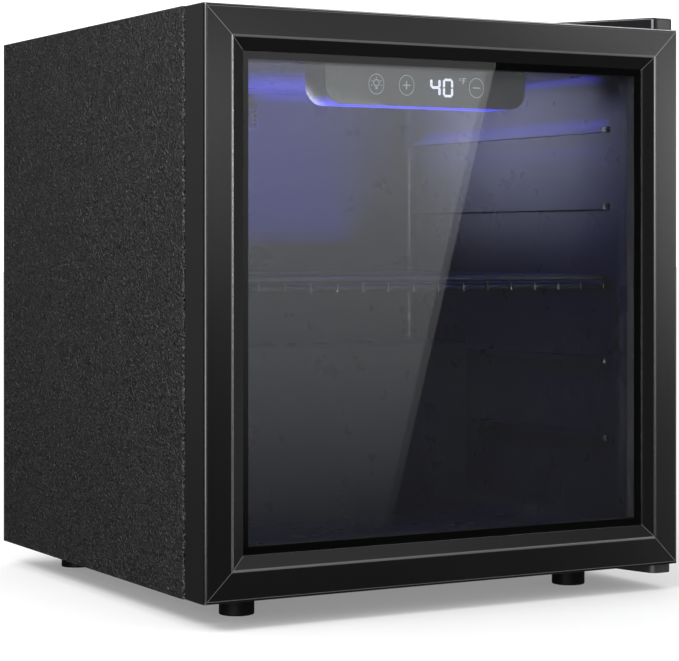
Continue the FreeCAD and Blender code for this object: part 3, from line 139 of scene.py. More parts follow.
def parts_of(material):
    """A material's tree, shader and texture coordinates."""
    tree = material.node_tree
    return tree, tree.nodes["Principled BSDF"], tree.nodes["Texture Coordinate"]


def noise(tree, place, scale, detail=2.0, roughness=0.5, distortion=0.0, stretch=None):
    """A noise texture of a given scale, stretched along the axes if asked."""
    if stretch is not None:
        mapping = tree.nodes.new("ShaderNodeMapping")
        mapping.inputs["Scale"].default_value = stretch
        tree.links.new(place, mapping.inputs["Vector"])
        place = mapping.outputs["Vector"]
    texture = tree.nodes.new("ShaderNodeTexNoise")
    texture.inputs["Scale"].default_value = scale
    texture.inputs["Detail"].default_value = detail
    texture.inputs["Roughness"].default_value = roughness
    texture.inputs["Distortion"].default_value = distortion
    tree.links.new(place, texture.inputs["Vector"])
    return texture.outputs["Fac"]


def spread(tree, value, low, high, start=0.3, stop=0.7):
    """Maps a texture's value onto a range."""
    node = tree.nodes.new("ShaderNodeMapRange")
    node.inputs["From Min"].default_value = start
    node.inputs["From Max"].default_value = stop
    node.inputs["To Min"].default_value = low
    node.inputs["To Max"].default_value = high
    tree.links.new(value, node.inputs["Value"])
    return node.outputs["Result"]


def two_tone(tree, value, dark, light, start=0.3, stop=0.7):
    """Runs from one colour to another with a texture's value."""
    node = tree.nodes.new("ShaderNodeValToRGB")
    ends = node.color_ramp.elements
    ends[0].position = start
    ends[1].position = stop
    ends[0].color = (*dark, 1.0)
    ends[1].color = (*light, 1.0)
    tree.links.new(value, node.inputs["Fac"])
    return node.outputs["Color"]


def bump(tree, shader, value, distance, strength=1.0):
    """Raises the surface with a texture's value, over any bump it has already."""
    node = tree.nodes.new("ShaderNodeBump")
    node.inputs["Distance"].default_value = distance
    node.inputs["Strength"].default_value = strength
    tree.links.new(value, node.inputs["Height"])
    before = shader.inputs["Normal"]
    if before.is_linked:
        tree.links.new(before.links[0].from_socket, node.inputs["Normal"])
    tree.links.new(node.outputs["Normal"], before)


def arithmetic(tree, operation, first, second=None):
    """One sum on values; the second may be a socket or a number."""
    node = tree.nodes.new("ShaderNodeMath")
    node.operation = operation
    tree.links.new(first, node.inputs[0])
    if isinstance(second, (int, float)):
        node.inputs[1].default_value = second
    elif second is not None:
        tree.links.new(second, node.inputs[1])
    return node.outputs["Value"]


def axes(tree, vector):
    """The X, Y and Z of a vector."""
    node = tree.nodes.new("ShaderNodeSeparateXYZ")
    tree.links.new(vector, node.inputs["Vector"])
    return node.outputs["X"], node.outputs["Y"], node.outputs["Z"]


def overlay(tree, socket, mask, colour):
    """Lays a colour over what feeds a shader's socket, where the mask says."""
    node = tree.nodes.new("ShaderNodeMix")
    node.data_type = "RGBA"
    under, over = [item for item in node.inputs if item.type == "RGBA"]
    tree.links.new(mask, node.inputs["Factor"])
    tree.links.new(socket.links[0].from_socket, under)
    over.default_value = (*colour, 1.0)
    result = [item for item in node.outputs if item.type == "RGBA"][0]
    tree.links.new(result, socket)


def self_lit(shader, strength):
    """Gives a surface a little white light of its own."""
    shader.inputs["Emission Color"].default_value = (1.0, 1.0, 1.0, 1.0)
    shader.inputs["Emission Strength"].default_value = strength


def tinted(colour, factor):
    """A colour made darker or lighter."""
    return tuple(min(1.0, channel * factor) for channel in colour)


def moulded(name, colour, roughness, grain=400.0, depth=0.02 * MM, vary=0.18, metallic=0.0,
            stretch=None, specular=0.5):
    """A painted, moulded or cast surface: a little uneven in tone, gloss and height."""
    material, tree, shader, place = new_material(name)
    cloud = noise(tree, place, 9.0, 3.0)
    fine = noise(tree, place, grain, 3.0, 0.6, stretch=stretch)
    tone = two_tone(tree, cloud, tinted(colour, 1.0 - vary), tinted(colour, 1.0 + vary))
    tree.links.new(tone, shader.inputs["Base Color"])
    gloss = spread(tree, fine, max(0.02, roughness * 0.85), min(1.0, roughness * 1.15))
    tree.links.new(gloss, shader.inputs["Roughness"])
    shader.inputs["Metallic"].default_value = metallic
    shader.inputs["Specular IOR Level"].default_value = specular
    bump(tree, shader, fine, depth)
    return material


def embossed(name, colour, grain):
    """Painted sheet steel rolled with a leather-like grain of short slanted ridges, with painted highlights
    on the ridges and painted shade in the pits.
    """
    material, tree, shader, place = new_material(name)
    slant = tree.nodes.new("ShaderNodeMapping")
    slant.inputs["Rotation"].default_value = (math.radians(24.0), 0.0, 0.0)
    tree.links.new(place, slant.inputs["Vector"])
    leaning = slant.outputs["Vector"]
    ridges = noise(tree, leaning, 0.85 / grain, 1.0, 0.5, 0.9, stretch=(1.0, 1.35, 0.75))
    pits = noise(tree, place, 1.7 / grain, 1.0, 0.5, 0.4)
    patches = noise(tree, place, 0.16 / grain, 1.0)
    # Painted highlights and shade: the colour runs from dark in the pits to light on the ridges.
    tone = two_tone(tree, ridges, tinted(colour, 0.28), tinted(colour, 3.4), 0.44, 0.72)
    tree.links.new(tone, shader.inputs["Base Color"])
    gloss = spread(tree, patches, 0.26, 0.38)
    tree.links.new(gloss, shader.inputs["Roughness"])
    bump(tree, shader, pits, 0.5 * MM, 0.6)
    bump(tree, shader, ridges, 2.0 * MM)
    return material


def brushed(name, colour, roughness, stretch):
    """Bare or plated metal with fine lines along one way."""
    return moulded(name, colour, roughness, grain=900.0, depth=0.01 * MM, vary=0.06, metallic=1.0,
                   stretch=stretch)


def clear_glass(name):
    """Window glass with a faint waviness."""
    material, tree, shader, place = new_material(name)
    wave = noise(tree, place, 3.0, 1.0)
    tone = two_tone(tree, wave, (0.90, 0.92, 0.93), (0.93, 0.95, 0.96))
    tree.links.new(tone, shader.inputs["Base Color"])
    shader.inputs["Roughness"].default_value = 0.0
    shader.inputs["IOR"].default_value = 1.5
    shader.inputs["Transmission Weight"].default_value = 1.0
    return material


def glowing(name, colour, strength):
    """A lit plastic surface, a little uneven like a diffuser."""
    material, tree, shader, place = new_material(name)
    cloud = noise(tree, place, 60.0, 2.0)
    tone = two_tone(tree, cloud, tinted(colour, 0.92), tinted(colour, 1.0))
    tree.links.new(tone, shader.inputs["Base Color"])
    tree.links.new(tone, shader.inputs["Emission Color"])
    shader.inputs["Emission Strength"].default_value = strength
    shader.inputs["Roughness"].default_value = 0.4
    return material


def dress(material, *names):
    """Gives CAD nodes their material."""
    for name in names:
        slots = NODES[name].data.materials
        slots.clear()
        slots.append(material)


# ---- modelling helpers ----
def nothing_selected():
    """Leaves edit mode and deselects everything."""
    if bpy.context.object is not None and bpy.context.object.mode != "OBJECT":
        bpy.ops.object.mode_set(mode="OBJECT")
    bpy.ops.object.select_all(action="DESELECT")


def pick(piece):
    """Selects one piece alone."""
    nothing_selected()
    piece.select_set(True)
    bpy.context.view_layer.objects.active = piece


def settle(piece):
    """Puts a piece's place, turn and size into its mesh."""
    pick(piece)
    bpy.ops.object.transform_apply(location=True, rotation=True, scale=True)
    return piece


def join(pieces, name):
    """Makes several pieces one named mesh."""
    nothing_selected()
    for piece in pieces:
        piece.select_set(True)
    bpy.context.view_layer.objects.active = pieces[0]
    if len(pieces) > 1:
        bpy.ops.object.join()
    piece = bpy.context.object
    piece.name = name
    piece.data.name = name
    return settle(piece)


def finished(piece, material, body, slot, *nodes):
    """Hands a piece over to the frame."""
    piece.data.materials.clear()
    piece.data.materials.append(material)
    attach(piece, body)
    if nodes:
        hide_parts(*nodes)


def modifier(piece, kind, **values):
    """Adds a modifier and applies it."""
    pick(piece)
    bpy.ops.object.modifier_add(type=kind)
    added = piece.modifiers[-1]
    for key, value in values.items():
        setattr(added, key, value)
    bpy.ops.object.modifier_apply(modifier=added.name)


def bar(centre, size):
    """A block."""
    nothing_selected()
    bpy.ops.mesh.primitive_cube_add(size=1.0, location=centre)
    piece = bpy.context.object
    piece.scale = size
    return settle(piece)


def printed_ring(centre, radius, line, thickness, oval=1.0):
    """A flat ring facing the front."""
    nothing_selected()
    bpy.ops.mesh.primitive_torus_add(
        location=centre, rotation=(math.pi / 2, 0.0, 0.0), major_radius=radius, minor_radius=line / 2,
        major_segments=72, minor_segments=8)
    piece = bpy.context.object
    piece.scale = (oval, 1.0, thickness / line)
    return settle(piece)


def segment(centre, length, width, upright, thickness):
    """One pointed bar of a digit, facing the front."""
    nothing_selected()
    bpy.ops.mesh.primitive_circle_add(
        vertices=6, radius=width / 2, fill_type="NGON", location=centre,
        rotation=(math.pi / 2, 0.0, 0.0))
    piece = bpy.context.object
    settle(piece)
    bpy.ops.object.mode_set(mode="EDIT")
    mesh = bmesh.from_edit_mesh(piece.data)
    axis = 2 if upright else 0
    middle = Vector(centre)
    if not upright:
        for vertex in mesh.verts:
            offset = vertex.co - middle
            vertex.co = middle + Vector((offset.z, offset.y, offset.x))
    for side in (-1, 1):
        bpy.ops.mesh.select_all(action="DESELECT")
        for vertex in mesh.verts:
            vertex.select = side * (vertex.co[axis] - centre[axis]) > width * 0.1
        mesh.select_flush_mode()
        bmesh.update_edit_mesh(piece.data)
        move = [0.0, 0.0, 0.0]
        move[axis] = side * (length - width) / 2
        bpy.ops.transform.translate(value=move)
    bpy.ops.mesh.select_all(action="SELECT")
    bpy.ops.mesh.extrude_region_move(TRANSFORM_OT_translate={"value": (0.0, thickness, 0.0)})
    bpy.ops.mesh.select_all(action="SELECT")
    bpy.ops.mesh.normals_make_consistent(inside=False)
    bpy.ops.object.mode_set(mode="OBJECT")
    return piece


def solids(name):
    """The points of each separate solid of a CAD node."""
    mesh = bmesh.new()
    mesh.from_mesh(NODES[name].data)
    bmesh.ops.remove_doubles(mesh, verts=mesh.verts, dist=0.001 * MM)
    left = set(mesh.verts)
    found = []
    while left:
        growing = [left.pop()]
        points = []
        while growing:
            vertex = growing.pop()
            points.append(vertex.co.copy())
            for edge in vertex.link_edges:
                other = edge.other_vert(vertex)
                if other in left:
                    left.remove(other)
                    growing.append(other)
        found.append(points)
    mesh.free()
    return sorted(found, key=lambda points: min(point[:] for point in points))


def cylinder(radius, low, high):
    """An upright cylinder on the Z axis."""
    nothing_selected()
    bpy.ops.mesh.primitive_cylinder_add(
        vertices=32, radius=radius, depth=high - low, location=(0.0, 0.0, (low + high) / 2))
    return settle(bpy.context.object)


def cross_screw(points):
    """A screw with a rounded head and a cross recess, in the place of a plain CAD screw."""
    low = Vector([min(point[i] for point in points) for i in range(3)])
    high = Vector([max(point[i] for point in points) for i in range(3)])
    middle = (low + high) / 2
    size = high - low
    axis = max(range(3), key=lambda i: size[i])
    radius = min(size) / 2

    def off_axis(point):
        away = point - middle
        away[axis] = 0.0
        return away.length

    rim = [point[axis] for point in points if off_axis(point) > 0.9 * radius]
    outward = 1 if sum(rim) / len(rim) > middle[axis] else -1
    tip, top = (low[axis], high[axis]) if outward > 0 else (high[axis], low[axis])
    seat = min(rim) if outward > 0 else max(rim)
    shank = max(off_axis(point) for point in points if abs(point[axis] - tip) < 0.5 * MM)
    height = abs(top - seat)
    head = cylinder(radius, 0.0, height)
    modifier(head, "BEVEL", width=0.35 * height, segments=3, limit_method="ANGLE")
    recess_length, recess_width = 1.15 * radius, 0.28 * radius
    for length, width in ((recess_length, recess_width), (recess_width, recess_length)):
        cutter = bar((0.0, 0.0, 0.95 * height), (length, width, height))
        modifier(head, "BOOLEAN", operation="DIFFERENCE", object=cutter)
        pick(cutter)
        bpy.ops.object.delete()
    screw = join([head, cylinder(shank, -abs(seat - tip), 0.1 * height)], "cross_screw")
    pick(screw)
    bpy.ops.object.shade_smooth_by_angle(angle=math.radians(35.0))
    if axis == 1:
        screw.rotation_euler = (-outward * math.pi / 2, 0.0, 0.0)
    elif outward < 0:
        screw.rotation_euler = (math.pi, 0.0, 0.0)
    place = middle.copy()
    place[axis] = seat
    screw.location = place
    return settle(screw)


# ---- operators ----
class FRIDGE_OT_cabinet(Operator):
    """Finish the cabinet's sheet metal"""
    bl_idname = "fridge.cabinet"
    bl_label = "Cabinet"

    def execute(self, context):
        colour = tuple(finishes().cabinet_colour)
        dress(embossed("embossed_steel", colour, sizes().grain), "left_side_panel", "right_side_panel")
        dress(moulded("black_steel", (0.028, 0.028, 0.03), 0.38, grain=700.0),
              "top_panel", "lower_hinge_bracket")
        dress(moulded("grey_steel", (0.08, 0.08, 0.085), 0.5, grain=500.0),
              "back_panel", "rear_cross_rail")
        dress(brushed("zinc_steel", (0.55, 0.56, 0.57), 0.4, (1.0, 12.0, 12.0)),
              "base_plate", "bay_panel", "hinge_reinforcement")
        dress(moulded("foam", (0.80, 0.70, 0.42), 0.9, grain=250.0, depth=0.3 * MM), "foam_insulation")
        return {"FINISHED"}


class FRIDGE_OT_cooling(Operator):
    """Finish the cooling circuit"""
    bl_idname = "fridge.cooling"
    bl_label = "Cooling circuit"

    def execute(self, context):
        dress(brushed("aluminium", (0.8, 0.81, 0.82), 0.35, (1.0, 8.0, 8.0)),
              "evaporator_plate", "evaporator_tube")
        dress(brushed("copper", (0.72, 0.36, 0.2), 0.3, (6.0, 6.0, 1.0)),
              "right_condenser_tube", "left_condenser_tube", "filter_drier", "capillary_tube",
              "suction_tube", "discharge_tube")
        dress(moulded("compressor_black", (0.018, 0.018, 0.02), 0.3, grain=90.0, depth=0.03 * MM),
              "compressor_lower_shell", "compressor_upper_shell", "compressor_base")
        dress(moulded("rubber", (0.025, 0.025, 0.025), 0.75, grain=600.0),
              "compressor_grommets", "cord_gland")
        dress(brushed("zinc_fastener", (0.66, 0.66, 0.62), 0.3, (3.0, 3.0, 3.0)),
              "compressor_bolts", "foot_nuts", "hinge_pins", "upper_hinge_plate")
        dress(moulded("relay_plastic", (0.05, 0.05, 0.05), 0.6, grain=500.0), "relay_cover")
        dress(moulded("tray_plastic", (0.19, 0.19, 0.2), 0.6, grain=500.0),
              "drip_tray", "drain_tube", "corner_keys")
        return {"FINISHED"}


class FRIDGE_OT_screws(Operator):
    """Build the screws with cross recesses"""
    bl_idname = "fridge.screws"
    bl_label = "Screws"

    def execute(self, context):
        steel = brushed("screw_steel", (0.66, 0.66, 0.62), 0.3, (3.0, 3.0, 3.0))
        for node, name in (("rear_screws", "rear_cross_screws"), ("hinge_screws", "hinge_cross_screws")):
            dress(steel, node)
            screws = join([cross_screw(points) for points in solids(node)], name)
            finished(screws, steel, "cabinet", "zinc_fastener", node)
        return {"FINISHED"}


class FRIDGE_OT_liner(Operator):
    """Finish the cold space"""
    bl_idname = "fridge.liner"
    bl_label = "Cold space"

    def execute(self, context):
        colour = tuple(finishes().liner_colour)
        dress(moulded("liner_plastic", colour, 0.3, grain=30.0, depth=0.0, vary=0.05),
              "inner_liner", "sensor_cover", "inner_frame")
        dress(moulded("shelf_wire", (0.10, 0.10, 0.105), 0.2, grain=300.0, depth=0.004 * MM, metallic=0.35),
              "shelf_frame", "shelf_wires", "shelf_cross_rods")
        return {"FINISHED"}


class FRIDGE_OT_door(Operator):
    """Finish the door"""
    bl_idname = "fridge.door"
    bl_label = "Door"

    def spacer_with_painted_shade(self):
        """The spacer's upright bars are grey and its level bars are darkened with painted shade."""
        material = moulded("spacer", (0.055, 0.055, 0.057), 0.45, grain=500.0)
        tree, shader, coordinates = parts_of(material)
        low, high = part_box("glass_spacer")
        shade_from = (high.z - low.z) / 2 - 16 * MM
        up = axes(tree, coordinates.outputs["Object"])[2]
        away = arithmetic(tree, "ABSOLUTE", arithmetic(tree, "SUBTRACT", up, (low.z + high.z) / 2))
        painted_shade_on_level_bars = spread(tree, away, 0.0, 1.0, shade_from, shade_from + 4 * MM)
        # Painted shade: the level bars are made near black.
        overlay(tree, shader.inputs["Base Color"], painted_shade_on_level_bars, (0.008, 0.008, 0.009))
        return material

    def mitred_frame(self, colour):
        """Black anodised profiles, with painted highlights along their ridges, strongest on the upright
        stiles, and along the mitred seams.
        """
        material = moulded("door_frame", colour, 0.2, grain=900.0, depth=0.002 * MM, vary=0.06)
        tree, shader, coordinates = parts_of(material)
        lean_x, _, lean_z = axes(tree, coordinates.outputs["Normal"])
        # Painted highlights on the slopes between face and bevel: full strength on the upright stiles,
        # three tenths of it on the level rails.
        ridges = []
        for lean, highlight_share in ((lean_x, 1.0), (lean_z, 0.3)):
            slope = arithmetic(tree, "ABSOLUTE", lean)
            rise = spread(tree, slope, 0.0, highlight_share, 0.03, 0.10)
            fall = spread(tree, slope, 1.0, 0.0, 0.24, 0.32)
            ridges.append(arithmetic(tree, "MULTIPLY", rise, fall))
        ridge = arithmetic(tree, "MAXIMUM", *ridges)
        left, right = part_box("door_left_stile"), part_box("door_right_stile")
        half_wide = (right[1].x - left[0].x) / 2
        half_tall = (left[1].z - left[0].z) / 2
        across, _, up = axes(tree, coordinates.outputs["Object"])
        from_side = arithmetic(tree, "SUBTRACT", arithmetic(tree, "ABSOLUTE", across), half_wide)
        height = arithmetic(tree, "SUBTRACT", up, (left[0].z + left[1].z) / 2)
        from_end = arithmetic(tree, "SUBTRACT", arithmetic(tree, "ABSOLUTE", height), half_tall)
        off = arithmetic(tree, "ABSOLUTE", arithmetic(tree, "SUBTRACT", from_side, from_end))
        # A painted highlight along each mitred seam of the face.
        seam_highlight = spread(tree, off, 0.6, 0.0, 0.15 * MM, 0.45 * MM)
        painted_highlight = arithmetic(tree, "MAXIMUM", ridge, seam_highlight)
        # The painted highlights are laid on in light grey and made metallic.
        overlay(tree, shader.inputs["Base Color"], painted_highlight, (0.34, 0.34, 0.345))
        tree.links.new(painted_highlight, shader.inputs["Metallic"])
        return material

    def execute(self, context):
        dress(self.mitred_frame(tuple(finishes().frame_colour)),
              "door_right_stile", "door_top_rail", "door_left_stile", "door_bottom_rail",
              "door_hole_plugs")
        dress(clear_glass("glass"), "front_pane", "rear_pane")
        dress(self.spacer_with_painted_shade(), "glass_spacer")
        dress(moulded("gasket", (0.03, 0.03, 0.032), 0.65, grain=700.0), "door_gasket")
        dress(moulded("magnet", (0.1, 0.085, 0.075), 0.7, grain=600.0), "magnet_strips")
        dress(moulded("bush", (0.75, 0.75, 0.72), 0.35, grain=500.0), "hinge_bushes")
        return {"FINISHED"}


class FRIDGE_OT_feet(Operator):
    """Finish the feet"""
    bl_idname = "fridge.feet"
    bl_label = "Feet"

    def execute(self, context):
        dress(moulded("foot_plastic", (0.005, 0.005, 0.005), 0.55, grain=600.0, specular=0.15),
              "rear_feet", "left_levelling_foot", "right_levelling_foot")
        return {"FINISHED"}


class FRIDGE_OT_control_panel(Operator):
    """Finish the control panel and hinge cover, and build the panel's print and digits"""
    bl_idname = "fridge.control_panel"
    bl_label = "Control panel"

    def housing_with_painted_glow(self):
        """The housing's underside has painted light: it glows violet as if lit by the light strip behind
        it.
        """
        material = moulded("housing_with_painted_glow", (0.2, 0.2, 0.202), 0.3, grain=30.0, depth=0.0, vary=0.05)
        tree, shader, coordinates = parts_of(material)
        lean = axes(tree, coordinates.outputs["Normal"])[2]
        # Painted light: the faces that look down glow in the light colour, though the housing is no lamp.
        downward = spread(tree, lean, 1.0, 0.0, -0.95, -0.55)
        glow = two_tone(tree, downward, (0.0, 0.0, 0.0), tuple(finishes().light_colour), 0.0, 1.0)
        tree.links.new(glow, shader.inputs["Emission Color"])
        shader.inputs["Emission Strength"].default_value = 1.05
        return material

    def fascia_with_painted_light(self):
        """The fascia has a faint painted light: a white glow of its own, though it is no lamp."""
        material = moulded("fascia_grey", (0.2, 0.2, 0.202), 0.25, grain=30.0, depth=0.0, vary=0.05)
        self_lit(parts_of(material)[1], 0.034)
        return material

    def light_symbol(self, x, y, z, thick):
        """A lamp's bulb over its cap, with five rays."""
        bulb = 2.6 * MM
        line = 0.7 * MM
        marks = [printed_ring((x, y, z + 1.0 * MM), bulb, line, thick)]
        for drop in (2.6 * MM, 3.8 * MM):
            marks.append(bar((x, y, z - drop), (bulb, thick, line)))
        reach = 4.7 * MM
        rays_middle = z + 0.6 * MM
        for angle in (-20, 25, 90, 155, 200):
            turn = math.radians(angle)
            ray = bar((0.0, 0.0, 0.0), (1.5 * MM, thick, 0.6 * MM))
            ray.rotation_euler = (0.0, -turn, 0.0)
            ray.location = (x + math.cos(turn) * reach, y, rays_middle + math.sin(turn) * reach)
            marks.append(settle(ray))
        return marks

    def degree_mark(self, y, z, thick):
        """A small ring and a letter F."""
        line = 0.8 * MM
        return [
            printed_ring((31.4 * MM, y, z + 6.6 * MM), 0.9 * MM, 0.5 * MM, thick),
            bar((34.2 * MM, y, z + 5.2 * MM), (line, thick, 5.2 * MM)),
            bar((35.6 * MM, y, z + 7.5 * MM), (3.0 * MM, thick, line)),
            bar((35.2 * MM, y, z + 5.4 * MM), (2.4 * MM, thick, line)),
        ]

    def printing(self, y, z, thick):
        """The keys' rings and symbols and the degree mark, as one piece."""
        light_key, plus_key, minus_key = -49.3 * MM, -20.6 * MM, 47.4 * MM
        ring_line = 0.55 * MM
        arm, stroke = 7.0 * MM, 0.9 * MM
        marks = []
        for x in (light_key, plus_key, minus_key):
            marks.append(printed_ring((x, y, z), sizes().key_ring, ring_line, thick, sizes().key_oval))
        marks.append(bar((plus_key, y, z), (arm, thick, stroke)))
        marks.append(bar((plus_key, y, z), (stroke, thick, arm)))
        marks.append(bar((minus_key, y, z), (arm, thick, stroke)))
        marks += self.light_symbol(light_key, y, z, thick)
        marks += self.degree_mark(y, z, thick)
        return join(marks, "panel_print")

    def digits(self, y, z, thick):
        """The display's two figures, built of seven-bar digits."""
        tall, wide = sizes().digit_height, sizes().digit_width
        lit_bars = {"4": "fgbc", "0": "abcdef"}
        first_left = 3.2 * MM
        figure_gap = 4.4 * MM
        bar_gap = 0.5 * MM
        stroke = 2.3 * MM
        strokes = []
        for i, figure in enumerate("40"):
            x = first_left + wide / 2 + i * (wide + figure_gap)
            places = {
                "a": (x, z + tall / 2, False),
                "b": (x + wide / 2, z + tall / 4, True),
                "c": (x + wide / 2, z - tall / 4, True),
                "d": (x, z - tall / 2, False),
                "e": (x - wide / 2, z - tall / 4, True),
                "f": (x - wide / 2, z + tall / 4, True),
                "g": (x, z, False),
            }
            for letter in lit_bars[figure]:
                bar_x, bar_z, upright = places[letter]
                length = (tall / 2 if upright else wide) - bar_gap
                strokes.append(segment((bar_x, y, bar_z), length, stroke, upright, thick))
        return join(strokes, "display_digits")

    def execute(self, context):
        dress(moulded("gloss_black", (0.012, 0.012, 0.014), 0.12, grain=120.0, depth=0.004 * MM, vary=0.05),
              "hinge_cover", "top_hole_plugs")
        dress(self.fascia_with_painted_light(), "control_fascia")
        dress(self.housing_with_painted_glow(), "control_housing")
        dress(moulded("board_green", (0.03, 0.16, 0.07), 0.4, grain=500.0),
              "control_board", "light_board")
        dress(glowing("lens", tuple(finishes().light_colour), 1.1), "light_lens")
        low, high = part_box("control_fascia")
        middle = (low.z + high.z) / 2 + 1.0 * MM
        thick = sizes().print_thickness
        # The print is given painted light: it glows a little, though it is no lamp.
        finished(self.printing(low.y - thick / 2, middle, thick),
                 glowing("panel_print", (0.75, 0.76, 0.8), 0.34), "cabinet", "lens")
        finished(self.digits(low.y - thick, middle - 0.9 * MM, thick),
                 glowing("display_digits", tuple(finishes().digit_colour), 1.2), "cabinet", "lens")
        return {"FINISHED"}


class FRIDGE_OT_studio(Operator):
    """Set up the floor, the lights and the camera"""
    bl_idname = "fridge.studio"
    bl_label = "Studio"

    def execute(self, context):
        scene = context.scene
        scene.view_settings.view_transform = "Standard"
        self.floor()
        self.surroundings(scene)
        self.front_cards()
        self.far_cards()
        self.room_lights()
        self.inner_lights()
        self.camera(scene)
        return {"FINISHED"}

    def floor(self):
        """A wide white floor that no mirror or glass shows."""
        nothing_selected()
        bpy.ops.mesh.primitive_plane_add(size=40.0, location=(0.0, 0.0, 0.0))
        floor = bpy.context.object
        floor.name = "studio_floor"
        white = moulded("studio_floor", (0.56, 0.56, 0.56), 0.9, grain=30.0, depth=0.0, vary=0.01,
                        specular=0.0)
        self_lit(parts_of(white)[1], 0.235)
        floor.data.materials.append(white)
        floor.visible_glossy = False
        floor.visible_transmission = False

    def surroundings(self, scene):
        """Even white light all round, which mirrors as a dim room."""
        world = bpy.data.worlds.new("studio")
        world.use_nodes = True
        scene.world = world
        tree = world.node_tree
        background = tree.nodes["Background"]
        path = tree.nodes.new("ShaderNodeLightPath")
        dim = tree.nodes.new("ShaderNodeMapRange")
        dim.inputs["To Min"].default_value = stage_settings().daylight
        dim.inputs["To Max"].default_value = 0.06
        tree.links.new(path.outputs["Is Glossy Ray"], dim.inputs["Value"])
        tree.links.new(dim.outputs["Result"], background.inputs["Strength"])
        background.inputs["Color"].default_value = (1.0, 1.0, 1.0, 1.0)

    def camera(self, scene):
        """A level camera, whose picture is shifted and not tilted."""
        bpy.ops.object.camera_add(
            location=(-0.9510, -1.7185, 0.2963), rotation=(math.pi / 2, 0.0, math.radians(-29.31)))
        camera = bpy.context.object
        camera.name = "camera"
        camera.data.lens = stage_settings().lens
        camera.data.shift_y = -0.1283
        camera.data.dof.use_dof = False
        scene.camera = camera

    def mirror_card(self, name, corners, heights, glow):
        """A panel seen only in reflections; its glow runs from one value to another between two heights."""
        nothing_selected()
        bpy.ops.mesh.primitive_plane_add(size=1.0)
        card = bpy.context.object
        card.name = name
        for vertex, corner in zip(card.data.vertices, corners):
            vertex.co = corner
        material, tree, shader, place = new_material(name)
        level = spread(tree, axes(tree, place)[2], *glow, *heights)
        shader.inputs["Base Color"].default_value = (0.0, 0.0, 0.0, 1.0)
        shader.inputs["Emission Color"].default_value = (1.0, 1.0, 1.0, 1.0)
        tree.links.new(level, shader.inputs["Emission Strength"])
        card.data.materials.append(material)
        card.visible_camera = False
        card.visible_diffuse = False
        card.visible_shadow = False

    def front_card(self, name, edges, foot, head, heights, glow):
        """A mirrored panel before the door, from its edges' heights and the ends of its foot and head."""
        y = -1.9
        corners = [(x, y, edges[0]) for x in foot] + [(x, y, edges[1]) for x in head]
        self.mirror_card(name, corners, heights, glow)

    def front_cards(self):
        """What the door's glass and profiles mirror."""
        window_left, window_right, window_top = 0.655, 1.159, 0.62
        sill_left, sill_top = 0.2, 1.15
        stile_left, stile_right, stile_top = 1.56, 1.95, 0.64
        self.front_card("window_card", (-0.5, window_top), (window_left, 0.86),
                        (window_left, window_right), (-0.25, 0.75), (0.0, 1.17))
        self.front_card("sill_card", (window_top, sill_top), (sill_left, window_right),
                        (sill_left, 1.3), (0.6, 1.2), (0.55, 0.55))
        self.front_card("left_card", (-0.2, window_top), (0.40, window_left),
                        (0.40, window_left), (0.15, window_top), (0.0, 2.7))
        self.front_card("stile_card", (-0.4, stile_top), (stile_left, stile_right),
                        (stile_left, stile_right), (0.02, stile_top), (0.75, 8.8))
        self.front_card("rail_card", (0.65, 0.82), (1.2, stile_left),
                        (1.2, stile_left), (0.6, 0.9), (3.2, 3.2))
        self.front_card("high_card", (sill_top, 2.2), (sill_left, 1.9),
                        (sill_left, 1.9), (1.0, 1.2), (0.42, 0.42))

    def far_cards(self):
        """What the frame's slopes and the cabinet's sides mirror."""
        right, back = 2.3, 1.6
        self.mirror_card("right_card", [(right, y, z) for z in (-0.3, 1.3) for y in (-1.5, -0.3)],
                         (-0.3, 1.0), (0.42, 0.12))
        self.mirror_card("back_left_card", [(x, back, z) for z in (-0.4, 1.4) for x in (-2.4, -0.6)],
                         (-0.2, 0.9), (0.07, 0.21))

    def card(self, name, place, target, size, brightness, colour=(1.0, 1.0, 1.0), mirrored_only=True):
        """A soft light panel that faces a point; its brightness is what it looks like in a mirror."""
        width, height = size
        nothing_selected()
        bpy.ops.object.light_add(type="AREA", location=place)
        light = bpy.context.object
        light.name = name
        light.data.shape = "RECTANGLE"
        light.data.size = width
        light.data.size_y = height
        light.data.energy = brightness * math.pi * width * height
        light.data.color = colour
        light.rotation_euler = (Vector(target) - Vector(place)).to_track_quat("-Z", "Y").to_euler()
        light.visible_camera = False
        if mirrored_only:
            light.visible_diffuse = False
        return light

    def room_lights(self):
        """The soft light panels about the fridge."""
        middle = (0.0, 0.0, 0.25)
        self.card("edge_light", (-1.54, -1.55, 0.55), middle, (1.33, 1.5), 8.0)
        self.card("top_light", (1.7, 0.1, 2.3), middle, (1.6, 1.6), 7.0)
        self.card("side_light", (-1.3, -0.35, 1.3), (-0.22, -0.1, 0.42), (0.8, 0.6), 13.0,
                  mirrored_only=False)

    def inner_light(self, name, place, target, size, brightness, colour, angle=180.0):
        """A light in the cold space that no mirror or glass shows."""
        light = self.card(name, place, target, size, brightness, colour, mirrored_only=False)
        light.data.spread = math.radians(angle)
        light.visible_transmission = False
        light.visible_glossy = False

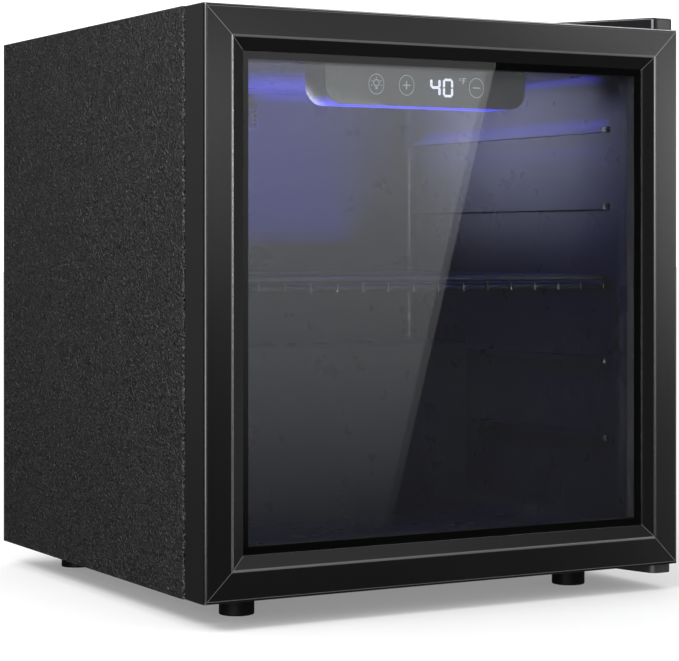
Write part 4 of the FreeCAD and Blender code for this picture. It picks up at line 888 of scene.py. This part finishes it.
    def inner_lights(self):
        """The violet light inside, and the white light that comes in through the glass."""
        glow = stage_settings().glow
        violet = tuple(finishes().light_colour)
        deep, pale, white = (0.07, 0.06, 1.0), (0.78, 0.78, 1.0), (1.0, 1.0, 1.0)
        low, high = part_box("light_lens")
        y = (low.y + high.y) / 2
        self.inner_light("light_down", (0.0, y, low.z - 1.0 * MM), (0.0, y + 0.1 * MM, 0.0),
                         (0.150, 0.012), 45.0 * glow, violet)
        self.inner_light("ceiling_wash", (-0.03, 0.08, 0.285), (-0.03, 0.0801, 0.5),
                         (0.30, 0.16), 21.0 * glow, deep, 95.0)
        self.inner_light("wall_fill", (-0.14, -0.02, 0.392), (0.19, -0.02, 0.408),
                         (0.24, 0.04), 22.0 * glow, pale, 45.0)
        self.inner_light("corner_streak", (0.160, -0.01, 0.424), (0.1801, -0.01, 0.4441),
                         (0.30, 0.003), 34.0 * glow, deep, 50.0)
        self.inner_light("ledge_streak", (0.172, -0.01, 0.412), (0.1865, -0.01, 0.3981),
                         (0.30, 0.004), 24.0 * glow, deep, 60.0)
        self.inner_light("front_fill", (0.0, -0.165, 0.36), (-0.05, 0.1, 0.35),
                         (0.34, 0.10), 1.0, white)


class FRIDGE_PT_pieces(Panel):
    """Shows the fridge's settings and the buttons that build it"""
    bl_label = "Mini fridge"
    bl_idname = "FRIDGE_PT_pieces"
    bl_space_type = "VIEW_3D"
    bl_region_type = "UI"
    bl_category = "Mini fridge"

    def draw(self, context):
        layout = self.layout
        for group in ("fridge_finishes", "fridge_sizes", "fridge_stage"):
            settings = getattr(context.scene, group)
            box = layout.box()
            for name in settings.bl_rna.properties.keys():
                if name not in ("rna_type", "name"):
                    box.prop(settings, name)
        for operator in OPERATORS:
            layout.operator(operator.bl_idname)


OPERATORS = (FRIDGE_OT_cabinet, FRIDGE_OT_cooling, FRIDGE_OT_screws, FRIDGE_OT_liner, FRIDGE_OT_door,
             FRIDGE_OT_feet, FRIDGE_OT_control_panel, FRIDGE_OT_studio)
CLASSES = (FinishSettings, SizeSettings, StageSettings) + OPERATORS + (FRIDGE_PT_pieces,)


def register():
    for item in CLASSES:
        bpy.utils.register_class(item)
    bpy.types.Scene.fridge_finishes = PointerProperty(type=FinishSettings)
    bpy.types.Scene.fridge_sizes = PointerProperty(type=SizeSettings)
    bpy.types.Scene.fridge_stage = PointerProperty(type=StageSettings)


def unregister():
    del bpy.types.Scene.fridge_stage
    del bpy.types.Scene.fridge_sizes
    del bpy.types.Scene.fridge_finishes
    for item in reversed(CLASSES):
        bpy.utils.unregister_class(item)


def main():
    register()
    bpy.ops.fridge.cabinet()
    bpy.ops.fridge.cooling()
    bpy.ops.fridge.screws()
    bpy.ops.fridge.liner()
    bpy.ops.fridge.door()
    bpy.ops.fridge.feet()
    bpy.ops.fridge.control_panel()
    bpy.ops.fridge.studio()


if __name__ == "__main__":
    main()
